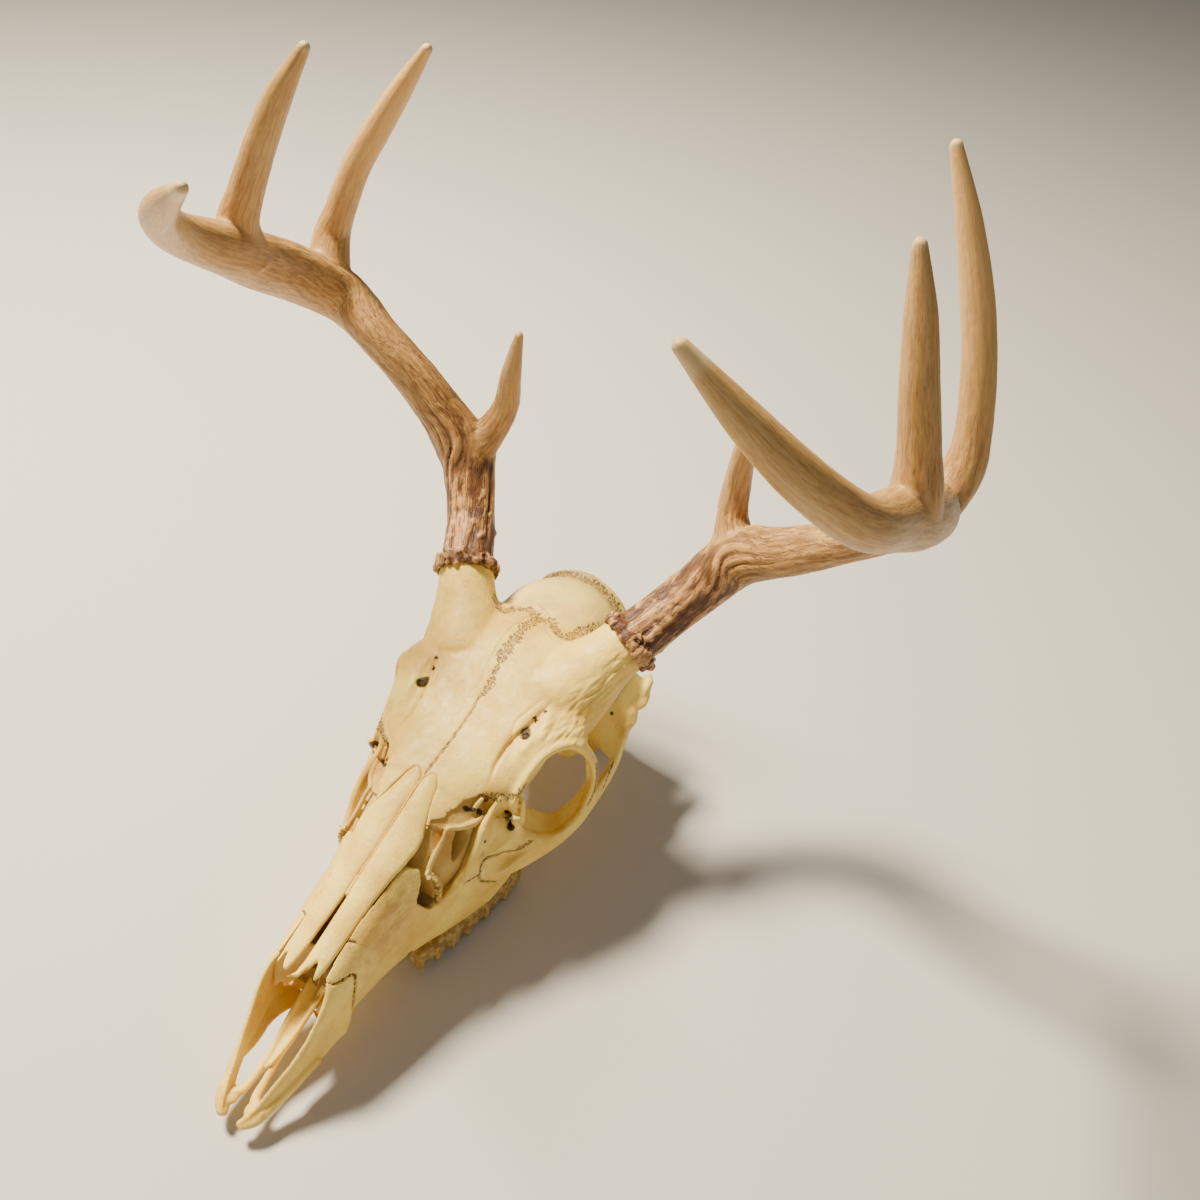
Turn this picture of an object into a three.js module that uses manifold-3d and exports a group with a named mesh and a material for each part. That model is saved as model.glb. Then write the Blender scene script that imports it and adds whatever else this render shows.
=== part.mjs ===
// White-tailed deer skull with antlers, without its lower jaw, at life size.
// Millimetres, +Z up. +X is the animal's left, -Y its front, and x = 0 the middle plane.
// Shapes are laid out from the back of the skull: "forward" is the distance in front of the
// condyles' back, so y = -forward until the whole is moved to the centre of its box.
import * as THREE from 'three';
import { mergeVertices } from 'three/addons/utils/BufferGeometryUtils.js';
import Module from 'manifold-3d';

const wasm = await Module();
wasm.setup();

// Driving dimensions.
const GAP = 0.3; // between bones that meet
const CRUMB = 40; // cubic mm: a cut piece smaller than this is dropped
const SPACE = 900; // a box wider than the skull, from which the bones' regions are cut
const SKULL_LENGTH = 286; // condyles to the tips of the premaxillae
const ORIGIN_FORWARD = 136.5; // the middle of the whole box, in front of the condyles
const NASION = 148; // where the nasals meet the frontals
const CORONAL_FORWARD = 52.4; // coronal suture at the middle plane
const CORONAL_SWEEP = 0.42; // how far the coronal suture runs back for each mm outwards
const LAMBDOID_FORWARD = 8; // lambdoid suture at the middle plane
const TOOTH_ROW = { front: 186, back: 116, frontX: 17.5, backX: 32, bow: 0.6, width: 9.6, height: 15 };
const TOOTH_LENGTHS = [9, 10.5, 10, 12.5, 14, 13.5]; // the second premolar to the third molar
const PREMOLAR_LIFT = 4.5; // the front tooth's crown stands this far off the ground
const PEDICLE_TOP = [46.16, 50.4, 126.66]; // where the left pedicle ends, under the burr
const PEDICLE_SLOPE = new THREE.Vector3(0.43, 0.77, 0.48); // the way the left antler leaves it
const ORBIT_WALL = 3.1; // half thickness of the orbit's rim
const MAGNUM = { radius: 9.5, depth: 13, height: 52 }; // foramen magnum
const VACUITY = { forward: 147, x: 21, z: 88, long: 13, wide: 4.2 }; // opening before the orbit

const BONE = { color: 0xe4d6b4, roughness: 0.62, metalness: 0 };
const TOOTH_BONE = { color: 0xdccaa2, roughness: 0.55, metalness: 0 };
const ANTLER_BASE = { color: 0x6b452a, roughness: 0.7, metalness: 0 };
const ANTLER = { color: 0x9a7850, roughness: 0.55, metalness: 0 };

const UP = new THREE.Vector3(0, 0, 1);
const FRONT_TO_BACK = new THREE.Vector3(0, 1, 0);
const at = (x, forward, z) => new THREE.Vector3(x, -forward, z);
const mirror = (point) => new THREE.Vector3(-point.x, point.y, point.z);

// --- From geometry to solid and back ---

function solid(geometry) {
  const bare = geometry.clone();
  bare.deleteAttribute('normal');
  bare.deleteAttribute('uv');
  const merged = mergeVertices(bare);
  const index = merged.index.array;
  const kept = [];
  for (let i = 0; i < index.length; i += 3) {
    const [a, b, c] = index.slice(i, i + 3);
    if (a !== b && b !== c && c !== a) kept.push(a, b, c);
  }
  const vertProperties = new Float32Array(merged.attributes.position.array);
  return new wasm.Manifold(new wasm.Mesh({ numProp: 3, vertProperties, triVerts: new Uint32Array(kept) }));
}

function geometryOf(manifold) {
  const mesh = manifold.getMesh();
  const geometry = new THREE.BufferGeometry();
  const positions = new Float32Array(mesh.numVert * 3);
  for (let i = 0; i < mesh.numVert; i += 1) {
    for (let k = 0; k < 3; k += 1) positions[3 * i + k] = mesh.vertProperties[mesh.numProp * i + k];
  }
  geometry.setAttribute('position', new THREE.BufferAttribute(positions, 3));
  geometry.setIndex(Array.from(mesh.triVerts));
  geometry.computeVertexNormals();
  return geometry;
}

function reflected(manifold) {
  const geometry = geometryOf(manifold);
  geometry.scale(-1, 1, 1);
  const index = geometry.index.array;
  for (let i = 0; i < index.length; i += 3) [index[i], index[i + 1]] = [index[i + 1], index[i]];
  return solid(geometry);
}

const joined = (solids) => solids.reduce((whole, next) => whole.add(next));
const both = (left) => left.add(reflected(left));

// --- Forms: each lays the vertices of a closed cylinder, torus or ball in its place ---

/** Smooth values between rows of [position, value, value ...]. */
function between(rows) {
  const width = rows[0].length - 1;
  const places = rows.map((row) => row[0]);
  const values = rows.flatMap((row) => row.slice(1));
  const curve = new THREE.CubicInterpolant(places, values, width);
  return (place) => Array.from(curve.evaluate(place));
}

/** A form symmetric about x = 0 with upright sections. Rows: forward, half width, widest height,
 *  top, bottom, and the roundness of its upper and lower halves (1 is an ellipse, less is squarer). */
function loft(rows, sides = 20, steps = 16) {
  const section = between(rows);
  const [start, end] = [rows[0][0], rows[rows.length - 1][0]];
  const geometry = new THREE.CylinderGeometry(1, 1, 1, sides, steps);
  const position = geometry.attributes.position;
  for (let i = 0; i < position.count; i += 1) {
    const forward = start + (0.5 - position.getY(i)) * (end - start);
    const [half, widest, top, bottom, upper, lower] = section(forward);
    const [across, up] = [position.getX(i), position.getZ(i)];
    const power = up > 0 ? upper : lower;
    const x = half * Math.sign(across) * Math.abs(across) ** power;
    const z = widest + (up > 0 ? top - widest : widest - bottom) * Math.sign(up) * Math.abs(up) ** power;
    position.setXYZ(i, x, -forward, z);
  }
  return solid(geometry);
}

/** A tapering limb along a curve, from one point's number to another's. Girths are half width,
 *  or [half width, half height]; the height lies in the plane of the curve and the up direction. */
function limb(points, girths, { sides = 10, steps = 10, from = 0, to = 1, up = UP } = {}) {
  const path = new THREE.CatmullRomCurve3(points, false, 'centripetal');
  const pairs = girths.map((girth) => [girth].flat());
  const girthPath = new THREE.CatmullRomCurve3(
    pairs.map(([wide, high = wide]) => new THREE.Vector3(wide, high, 0)), false, 'centripetal');
  const geometry = new THREE.CylinderGeometry(1, 1, 1, sides, steps);
  const position = geometry.attributes.position;
  for (let i = 0; i < position.count; i += 1) {
    const t = from + (0.5 - position.getY(i)) * (to - from);
    const along = path.getTangent(t);
    const across = new THREE.Vector3().crossVectors(up, along).normalize();
    const over = new THREE.Vector3().crossVectors(along, across);
    const girth = girthPath.getPoint(t);
    const place = path.getPoint(t);
    place.addScaledVector(across, girth.x * position.getX(i));
    place.addScaledVector(over, girth.y * position.getZ(i));
    position.setXYZ(i, place.x, place.y, place.z);
  }
  return solid(geometry);
}

/** A closed ring of round section through the points. */
function ring(points, radius, { sides = 5, steps = 14 } = {}) {
  const path = new THREE.CatmullRomCurve3(points, true, 'centripetal');
  const frames = path.computeFrenetFrames(steps, true);
  const geometry = new THREE.TorusGeometry(10, radius, sides, steps);
  const position = geometry.attributes.position;
  for (let i = 0; i < position.count; i += 1) {
    const turn = Math.atan2(position.getY(i), position.getX(i)) / (2 * Math.PI);
    const k = (Math.round(turn * steps) + steps) % steps;
    const outward = Math.hypot(position.getX(i), position.getY(i)) - 10;
    const place = path.getPointAt(k / steps);
    place.addScaledVector(frames.normals[k], outward);
    place.addScaledVector(frames.binormals[k], -position.getZ(i));
    position.setXYZ(i, place.x, place.y, place.z);
  }
  return solid(geometry);
}

function ball(centre, x, y, z, around = 12, high = 8) {
  const geometry = new THREE.SphereGeometry(1, around, high);
  geometry.scale(x, y, z);
  geometry.translate(centre.x, centre.y, centre.z);
  return solid(geometry);
}

// --- Convex regions, kept as planes [nx, ny, nz, least distance], which part the skull ---

function plane(normal, point) {
  const unit = normal.clone().normalize();
  return [unit.x, unit.y, unit.z, unit.dot(point)];
}

/** The planes of a convex outline seen from the left, with its points [forward, z] in turn. */
function sideOutline(corners) {
  const centre = corners.reduce((sum, [f, z]) => sum.add(at(0, f, z)), new THREE.Vector3());
  centre.divideScalar(corners.length);
  return corners.map(([f, z], i) => {
    const [nextF, nextZ] = corners[(i + 1) % corners.length];
    const edge = at(0, nextF, nextZ).sub(at(0, f, z));
    const normal = new THREE.Vector3(0, -edge.z, edge.y);
    if (normal.dot(centre.clone().sub(at(0, f, z))) < 0) normal.negate();
    return plane(normal, at(0, f, z));
  });
}

const beyondX = (x) => plane(new THREE.Vector3(1, 0, 0), at(x, 0, 0));
const withinX = (x) => plane(new THREE.Vector3(-1, 0, 0), at(x, 0, 0));
const mirrorPlanes = (planes) => planes.map(([x, y, z, d]) => [-x, y, z, d]);

const clipped = (body, planes, grow = 0) =>
  planes.reduce((rest, [x, y, z, d]) => rest.trimByPlane([x, y, z], d - grow), body);

/** A body without the crumbs that a cut leaves. */
const crumbless = (body) => joined(body.decompose().filter((part) => part.volume() > CRUMB));

/** Takes a region out of a body, and leaves the gap between them. */
function take(body, planes) {
  const space = solid(new THREE.BoxGeometry(SPACE, SPACE, SPACE));
  const piece = body.intersect(clipped(space, planes));
  const rest = body.subtract(clipped(space, planes, GAP));
  return [crumbless(piece), crumbless(rest)];
}

const halves = (body) => [clipped(body, [beyondX(GAP / 2)]), clipped(body, [withinX(-GAP / 2)])];

// --- The skull as one solid ---

function braincase() {
  return loft([
    [2, 24, 66, 107, 43, 1, 0.8],
    [7, 30, 68, 111, 41, 0.95, 0.8],
    [16, 35, 68, 115, 39, 0.85, 0.8],
    [28, 37.5, 68, 117.6, 38, 0.8, 0.8],
    [42, 38.5, 70, 119, 37, 0.8, 0.9],
    [55, 37.5, 76, 118, 37, 0.8, 0.9],
    [68, 32, 80, 115, 38, 0.8, 0.9],
    [80, 25, 80, 110, 40, 0.8, 0.9],
    [96, 18, 78, 104, 42, 0.8, 0.9],
    [112, 16, 74, 99, 42, 0.7, 0.9],
    [134, 22, 66, 90, 30, 0.7, 0.9],
  ], 12, 9);
}

function frontalRoof() {
  return loft([
    [40, 27, 100, 108, 90, 0.8, 1],
    [47, 32, 106, 117.6, 94, 0.8, 1],
    [54, 35, 109, 120.6, 96, 0.8, 1],
    [66, 40, 109, 122.2, 94, 0.8, 1],
    [78, 44, 102.5, 121, 88, 0.8, 1],
    [88, 49.5, 97, 118, 84, 0.8, 1],
    [94.5, 52.5, 95.5, 115.5, 84, 0.8, 1],
    [102, 46, 100.5, 112.8, 84, 0.7, 1],
    [110, 41.5, 102.5, 110, 84, 0.6, 1],
    [120, 40, 97, 107, 80, 0.7, 1],
    [131, 38.5, 84, 103.2, 72, 0.8, 1],
    [141, 30, 84, 100.4, 72, 0.8, 1],
    [151, 22, 86, 97.6, 76, 0.8, 1],
  ], 12, 9);
}

const FACE_ROWS = [
  [113, 29, 30, 46, 14, 1, 0.6],
  [122, 36, 44, 70, 12.5, 0.9, 0.5],
  [131, 40, 54, 90, 12, 0.9, 0.5],
  [142, 39.5, 52, 97, 12, 0.9, 0.5],
  [154, 36, 48, 96.5, 12, 0.85, 0.5],
  [166, 31.5, 44, 91.5, 12.5, 0.8, 0.5],
  [180, 26.5, 40, 85.5, 14, 0.8, 0.6],
  [195, 23, 38, 79, 17.5, 0.75, 0.7],
  [210, 21.5, 38, 72.5, 20, 0.7, 0.8],
  [226, 20.2, 36, 65.5, 22, 0.7, 0.8],
  [242, 19, 34, 58, 23.5, 0.7, 0.8],
];

/** The snout's walls and roof, open in front of the naris. */
function face() {
  const naris = sideOutline([[209, 66.3], [246, 22], [262, 8], [262, 44.8]]);
  return take(loft(FACE_ROWS, 12, 9).subtract(noseHollow()), naris)[1];
}

/** The inside of the nose, under the nasals and open in front. */
function noseHollow() {
  const wall = 2.8;
  const rows = FACE_ROWS.filter(([forward]) => forward > 150).map(
    ([forward, half, widest, top, , upper, lower]) =>
      [forward, half - wall - 1, widest + 4, top - wall, 30 - 0.02 * (forward - 154), upper, lower]);
  rows.push([262, 16, 40, 56, 28, 0.7, 0.8]);
  return loft(rows, 10, 4);
}

function orbit() {
  const rim = ring([
    at(41, 130.5, 80), at(39.5, 122, 97), at(41.5, 109.5, 103), at(51.5, 95.5, 95),
    at(58, 91, 77), at(57, 99, 62), at(53, 116, 55.5), at(46.5, 128, 64),
  ], ORBIT_WALL);
  const postorbitalBar = limb(
    [at(51, 94, 97), at(56.5, 91, 86), at(58.5, 90, 74), at(58, 92, 58)],
    [[3, 5], [2.8, 4], [2.8, 4], [2.6, 6]], { sides: 5, steps: 4, up: FRONT_TO_BACK });
  return rim.add(postorbitalBar);
}

function zygomaticArch() {
  return limb([
    at(36, 146, 46), at(45, 132, 49), at(52.5, 117, 51), at(57, 102, 54), at(58, 88, 58),
    at(57, 66, 60), at(55.5, 50, 64), at(51, 38, 67), at(40, 32, 66), at(32, 31, 64),
  ], [[3, 7], [3, 7], [2.8, 6.5], [2.8, 6], [3, 6.5], [3.4, 6.5], [4, 6], [6, 5], [8, 5], [8, 6]],
  { sides: 5, steps: 8 });
}

function pedicle() {
  return limb([at(30, 72, 103), at(37, 62, 114), at(48, 47, 129)], [19, 15.5, 14],
    { sides: 10, steps: 4 });
}

function skullBase() {
  const condyle = ball(at(12.5, 9, 46), 8, 9.5, 10, 8, 5);
  const process = limb([at(20, 17, 50), at(22.5, 15.5, 30), at(22.5, 14, 12), at(22, 13.5, -2)],
    [[8, 9], [6, 7], [4.2, 4.5], [3, 3.4]], { steps: 3, sides: 6, up: FRONT_TO_BACK });
  const bulla = ball(at(21, 41, 35), 8, 13, 11, 8, 4);
  const earTube = limb([at(26, 42, 46), at(34, 38, 50), at(42, 33, 54)], [6, 5.5, 5.5],
    { sides: 6, steps: 2 });
  const palateWall = limb([at(13, 124, 24), at(11, 106, 28), at(9.5, 90, 36), at(9, 76, 42)],
    [[2.2, 9], [1.8, 11], [1.6, 9], [1.6, 6]], { sides: 5, steps: 3 });
  return joined([condyle, process, bulla, earTube, palateWall]);
}

function nuchalCrest() {
  return limb([at(-28, 8, 84), at(-21, 4.5, 100), at(0, 3, 108.5), at(21, 4.5, 100), at(28, 8, 84)],
    [3.6, 4, 4.2, 4, 3.6], { sides: 6, steps: 6 });
}

function tooth(number) {
  const before = TOOTH_LENGTHS.slice(0, number).reduce((sum, next) => sum + next, 0);
  const length = TOOTH_LENGTHS[number];
  const share = (before + length / 2) / TOOTH_LENGTHS.reduce((sum, next) => sum + next, 0);
  const forward = THREE.MathUtils.lerp(TOOTH_ROW.front, TOOTH_ROW.back, share);
  const x = THREE.MathUtils.lerp(TOOTH_ROW.frontX, TOOTH_ROW.backX, share ** TOOTH_ROW.bow);
  const lift = PREMOLAR_LIFT * Math.max(0, 1 - share / 0.4);
  const width = TOOTH_ROW.width * (number < 1 ? 0.85 : 1);
  const geometry = new THREE.CylinderGeometry(1.08, 0.92, TOOTH_ROW.height, 6);
  geometry.rotateX(Math.PI / 2);
  geometry.scale(width / 2, length / 1.95, 1);
  geometry.translate(x, -forward, TOOTH_ROW.height / 2 + lift);
  return solid(geometry);
}

const toothRow = () => joined(TOOTH_LENGTHS.map((_, number) => tooth(number)));

/** What is hollow: the palate's vault, the foramen magnum, the opening before each orbit. */
function hollows() {
  const vault = loft([
    [104, 12, 8, 20, -20, 1, 1],
    [122, 20, 8, 24, -20, 1, 1],
    [150, 18, 8, 23, -20, 1, 1],
    [180, 12, 9, 20, -20, 1, 1],
    [206, 8, 12, 22, -20, 1, 1],
  ], 8, 4);
  const magnum = limb([at(0, -4, MAGNUM.height), at(0, 8, MAGNUM.height), at(0, MAGNUM.depth, 54)],
    [MAGNUM.radius, MAGNUM.radius, MAGNUM.radius * 0.8], { sides: 12, steps: 3 });
  const { forward, x, z, long, wide } = VACUITY;
  const slot = limb([at(x + 5, forward - long, z - 3), at(x, forward, z), at(x - 2, forward + long, z - 4)],
    [[wide * 0.7, 9], [wide, 12], [wide * 0.6, 9]], { sides: 8, steps: 4 });
  const lacrimalPit = ball(at(41, 138, 74), 5, 8, 5, 10, 6);
  return joined([vault, magnum, both(slot), both(lacrimalPit)]);
}

function wholeSkull() {
  const sides = joined([orbit(), zygomaticArch(), pedicle(), skullBase(), toothRow(), premaxilla()]);
  const bone = joined([braincase(), frontalRoof(), face(), nuchalCrest(), both(sides)]);
  const ground = plane(new THREE.Vector3(0, 0, 1), at(0, 0, 0));
  const pedicleTop = [beyondX(30), plane(PEDICLE_SLOPE, at(...PEDICLE_TOP))];
  const overPedicle = clipped(solid(new THREE.BoxGeometry(SPACE, SPACE, SPACE)), pedicleTop);
  return clipped(bone.subtract(both(overPedicle)).subtract(hollows()), [ground]);
}

// --- The skull's bones ---

const NASAL_SLOPE = [[NASION + 2, 91], [244, 52.5], [260, 140], [NASION - 4, 140]];
const NASAL_WIDTHS = [[164, 14], [246, 6]]; // forward, half width

/** The nasals' region: over the slope in side view, and within their tapering width. */
function nasalRegion() {
  const [[backForward, backHalf], [frontForward, frontHalf]] = NASAL_WIDTHS;
  const inward = new THREE.Vector3(backForward - frontForward, backHalf - frontHalf, 0);
  const leftEdge = plane(inward, at(backHalf, backForward, 0));
  return [...sideOutline(NASAL_SLOPE), leftEdge, ...mirrorPlanes([leftEdge])];
}

function partedSkull() {
  const bones = {};
  let rest = wholeSkull();
  const takeMiddle = (name, planes) => {
    [bones[name], rest] = take(rest, planes);
  };
  const takeHalves = (name, planes) => {
    let whole;
    [whole, rest] = take(rest, planes);
    [bones[`${name}_left`], bones[`${name}_right`]] = halves(whole);
  };
  const takeSides = (name, planes) => {
    [bones[`${name}_left`], rest] = take(rest, planes);
    [bones[`${name}_right`], rest] = take(rest, mirrorPlanes(planes));
  };
  takeHalves('nasal', nasalRegion());
  takeHalves('premaxilla', sideOutline([[205, 75], [244, 17], [262, -10], [300, -10], [300, 75]]));
  takeMiddle('occipital', sideOutline([[-20, 130], [-20, -20], [24, -20], [24, 40], [14, 60],
    [LAMBDOID_FORWARD, 112], [LAMBDOID_FORWARD - 2, 130]]));
  takeSides('lacrimal', [...sideOutline([[116, 66], [150, 58], [156, 92], [134, 104], [119, 92]]),
    beyondX(24)]);
  takeSides('zygomatic', [...sideOutline([[80, 30], [142, 36], [142, 62], [114, 80], [80, 85]]),
    beyondX(30)]);
  const coronal = plane(new THREE.Vector3(CORONAL_SWEEP, -1, 0), at(0, CORONAL_FORWARD, 0));
  const frontalSide = sideOutline([[30, 80], [NASION - 14, 62], [NASION + 3, 92], [NASION + 3, 160],
    [30, 160]]);
  takeSides('frontal', [...frontalSide, coronal, beyondX(GAP / 2)]);
  takeMiddle('parietal', sideOutline([[-10, 84], [60, 92], [60, 160], [-10, 160]]));
  takeSides('temporal', [...sideOutline([[0, 0], [92, 0], [92, 110], [0, 110]]), beyondX(17)]);
  takeHalves('maxilla', sideOutline([[112, -5], [NASION - 26, 42], [NASION, 130], [270, 130], [270, -5]]));
  bones.sphenoid = rest;
  return bones;
}

// --- The premaxillae and the nasal septum, which the nose holds ---

function premaxilla() {
  const body = limb([
    at(19, 214, 34), at(19, 228, 29.5), at(18.2, 244, 25), at(15.4, 260, 19), at(11.8, 274, 14),
    at(9, 281, 11.6), at(4.6, SKULL_LENGTH - 1.5, 10),
  ], [[1.8, 5], [2, 6.6], [2, 6], [2.2, 4.6], [2.6, 3.4], [3.4, 3], [2.2, 2.2]],
  { sides: 5, steps: 7 });
  const nasalProcess = limb([at(18.2, 244, 29), at(17.8, 233, 40), at(16.2, 222, 53), at(13.6, 210, 65)],
    [[1.4, 5], [1.4, 5], [1.3, 4.5], [1.2, 3]], { sides: 5, steps: 3 });
  const palatineProcess = limb([
    at(7, 281, 11.5), at(4.6, 272, 12.6), at(3.4, 256, 17), at(3.6, 240, 22.5), at(4.2, 226, 26),
  ], [[2.4, 2.2], [1.8, 2], [1.4, 2], [1.4, 2], [1.4, 1.8]], { sides: 4, steps: 4 });
  return joined([body, nasalProcess, palatineProcess]);
}

function septum() {
  return limb([at(0, 158, 46), at(0, 190, 42), at(0, 214, 38), at(0, 236, 31)],
    [[1, 14], [0.9, 12], [0.9, 8], [0.9, 3]], { sides: 6, steps: 4 });
}

// --- Antlers ---

// Each side's beam: the middle line from burr to tip, and the same way round its three tines.
const BEAM = {
  left: [at(47, 48.9, 127.6), at(61.8, 22.6, 144.1), at(78.4, 8.3, 167.8), at(107, 17, 192.5),
    at(131.5, 19.9, 213.1), at(153.8, 18.3, 232.9), at(157.6, 40, 250.6), at(156.5, 70, 266.4),
    at(151.6, 90.7, 275.6), at(145.7, 119.6, 289.7), at(129.4, 140.1, 309.8), at(112.4, 150, 326.8),
    at(89.7, 158.9, 349)],
  right: [at(47, 48.9, 127.6), at(61.1, 24.3, 142.5), at(76.4, 10.2, 166.6), at(100.8, 13, 196.7),
    at(124.9, 15.4, 216.5), at(147.8, 14.5, 230), at(157.3, 36.5, 246.7), at(153.8, 66.5, 265.3),
    at(150.2, 84.4, 276.9), at(146, 112.4, 293.7), at(131.1, 134.4, 311.8), at(113.5, 146.9, 325.4),
    at(89, 159.9, 342)],
};
const BEAM_GIRTHS = {
  left: [13.4, 12.7, 14.2, 11.3, 10, [11.1, 12.4], [11.2, 12.6], [11.2, 13.2],
    [10.6, 11.6], 9.1, 8, 6.5, 2.6],
  right: [13.4, 12.7, 14, 11.3, 11, [12.5, 13.7], [12.2, 13.8], [11.2, 13.2],
    [10.6, 11.6], 8.9, 7.4, 5.7, 2.4],
};
const BEAM_POINTS = BEAM.left.length - 1;
const BEAM_SPACING = 30; // about how far apart the beam's points are
const FORKS = { brow: 2.3, back: 5.6, front: 7.7 }; // beam point after which each tine has left
const BURR = { radius: 16.4, thick: 3.4 };

const TINES = {
  brow: {
    left: [at(74, 6, 169), at(68.5, -2, 184), at(66.9, -4.2, 198), at(67.1, -2.4, 219),
      at(67.8, -1.5, 243.3)],
    right: [at(72, 8, 168), at(64.5, 0, 181), at(60.1, -2, 193), at(56.9, 0, 213.1),
      at(53.2, 0.5, 237)],
    girths: [10.5, 7.6, 6.6, 5.3, 2.1],
  },
  back: {
    left: [at(155.5, 22.5, 240), at(160.7, 12.3, 255.7), at(159.4, 8.1, 270.2), at(152, 3.9, 296.7),
      at(143.1, 1, 319.1), at(130.7, -1.7, 344.5), at(116.9, -3.8, 369.6)],
    right: [at(155, 16, 240), at(158.6, 7, 257), at(154.4, 5.7, 269), at(145.9, 3.1, 291.1),
      at(135.6, 1.1, 309.5), at(122.5, -0.7, 330.5), at(108.6, -2.2, 351.2)],
    girths: [11.4, 9.2, 7.8, 7.1, 6.7, 5.3, 2.4],
  },
  front: {
    left: [at(155, 76.6, 268), at(154, 80.1, 284), at(150.2, 79.1, 297.5), at(143, 77.2, 319.8),
      at(136.7, 75, 339.7), at(128.9, 72.6, 361.7)],
    right: [at(152.4, 72.2, 268), at(151.2, 75.8, 285), at(146.4, 74.8, 299), at(138, 72, 321),
      at(129.6, 69, 340.4), at(117.4, 64.6, 362)],
    girths: [11.3, 9.1, 7.9, 7, 5.9, 2.5],
  },
};

const sided = (points, side) => (side === 'left' ? points : points.map(mirror));

/** A stretch of the beam between two of its points, counted from the burr. */
function beamStretch(side, first, last, grow = 0) {
  const girths = BEAM_GIRTHS[side].map((girth) => [girth].flat().map((value) => value + grow));
  const inset = GAP / 2 / BEAM_SPACING;
  return limb(sided(BEAM[side], side), girths, {
    sides: 8,
    steps: Math.max(4, Math.round((last - first) * 2)),
    from: first / BEAM_POINTS + (first > 0 && grow === 0 ? inset / BEAM_POINTS : 0),
    to: last / BEAM_POINTS - (last < BEAM_POINTS && grow === 0 ? inset / BEAM_POINTS : 0),
  });
}

function burr(side) {
  const [low, next] = sided(BEAM[side], side);
  const along = next.clone().sub(low).normalize();
  const points = [-0.4, 0.3, 1, 1.6].map((k) => low.clone().addScaledVector(along, k * BURR.thick));
  return limb(points, [BURR.radius - 2.4, BURR.radius, BURR.radius - 0.6, BURR.radius - 3.2],
    { sides: 10, steps: 3 });
}

function tine(name, side, beam) {
  const { girths } = TINES[name];
  const whole = limb(sided(TINES[name][side], side), girths,
    { sides: 8, steps: 7, up: FRONT_TO_BACK });
  return crumbless(whole.subtract(beam));
}

function antler(side) {
  const beams = {
    base: [0, FORKS.brow], middle: [FORKS.brow, FORKS.back], upper: [FORKS.back, FORKS.front],
    tip: [FORKS.front, BEAM_POINTS],
  };
  const pieces = {};
  for (const [name, [first, last]] of Object.entries(beams)) {
    pieces[`antler_${side}_beam_${name}`] = beamStretch(side, first, last);
  }
  const fat = joined(Object.values(beams).map(([first, last]) => beamStretch(side, first, last, GAP)));
  for (const name of Object.keys(TINES)) pieces[`antler_${side}_${name}_tine`] = tine(name, side, fat);
  const base = `antler_${side}_beam_base`;
  pieces[base] = pieces[base].add(burr(side));
  return pieces;
}

// --- Putting the skull together ---

const skull = new THREE.Group();
const placed = new THREE.Group();
placed.position.y = ORIGIN_FORWARD;
skull.add(placed);

function addPiece(name, manifold, finish) {
  const mesh = new THREE.Mesh(geometryOf(manifold), new THREE.MeshStandardMaterial(finish));
  mesh.name = name;
  placed.add(mesh);
}

const bones = partedSkull();
bones.nasal_septum = septum();

const antlers = { ...antler('left'), ...antler('right') };
for (const [name, bone] of Object.entries(bones)) {
  addPiece(name, bone, name.startsWith('maxilla') ? TOOTH_BONE : BONE);
}
for (const [name, piece] of Object.entries(antlers)) {
  addPiece(name, piece, name.endsWith('base') ? ANTLER_BASE : ANTLER);
}

export default skull;
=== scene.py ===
"""A white-tailed deer's skull with its antlers and upper teeth, at life size.

Forms are laid out in millimetres: x is the animal's left, "forward" the distance in front of the
condyles' back, z the height over the ground, and y = -forward. Each finished piece is moved into the
frame in metres.
"""
import math

import bmesh
import bpy
import numpy as np
from mathutils import Matrix, Vector


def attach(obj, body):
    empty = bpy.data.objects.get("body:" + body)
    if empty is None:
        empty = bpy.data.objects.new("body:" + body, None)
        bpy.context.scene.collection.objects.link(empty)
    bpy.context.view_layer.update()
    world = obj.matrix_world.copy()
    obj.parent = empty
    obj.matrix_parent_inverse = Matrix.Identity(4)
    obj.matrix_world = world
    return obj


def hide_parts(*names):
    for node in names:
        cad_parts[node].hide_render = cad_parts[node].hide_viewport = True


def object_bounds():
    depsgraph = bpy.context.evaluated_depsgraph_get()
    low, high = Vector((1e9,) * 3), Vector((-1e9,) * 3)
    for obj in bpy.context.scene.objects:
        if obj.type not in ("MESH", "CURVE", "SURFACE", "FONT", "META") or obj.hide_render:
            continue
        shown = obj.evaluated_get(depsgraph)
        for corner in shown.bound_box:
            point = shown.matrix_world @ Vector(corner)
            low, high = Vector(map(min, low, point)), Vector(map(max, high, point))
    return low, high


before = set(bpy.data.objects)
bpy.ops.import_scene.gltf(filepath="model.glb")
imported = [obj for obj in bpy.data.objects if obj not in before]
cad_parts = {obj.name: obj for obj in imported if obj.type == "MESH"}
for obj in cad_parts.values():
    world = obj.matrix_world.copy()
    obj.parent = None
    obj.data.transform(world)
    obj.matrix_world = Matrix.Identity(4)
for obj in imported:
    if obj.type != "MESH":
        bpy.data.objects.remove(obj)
cad_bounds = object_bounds()

MM = 0.001
ORIGIN_FORWARD = 136.5
BONE_GRAIN = 0.6  # mm between vertices of the finished bone
ANTLER_GRAIN = 0.78
UP = (0.0, 0.0, 1.0)
FRONT_TO_BACK = (0.0, 1.0, 0.0)


def at(x, forward, z):
    return np.array((x, -forward, z), float)


def line_of(places):
    return [at(*place) for place in places]


# --- Curves and noise ---


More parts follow.
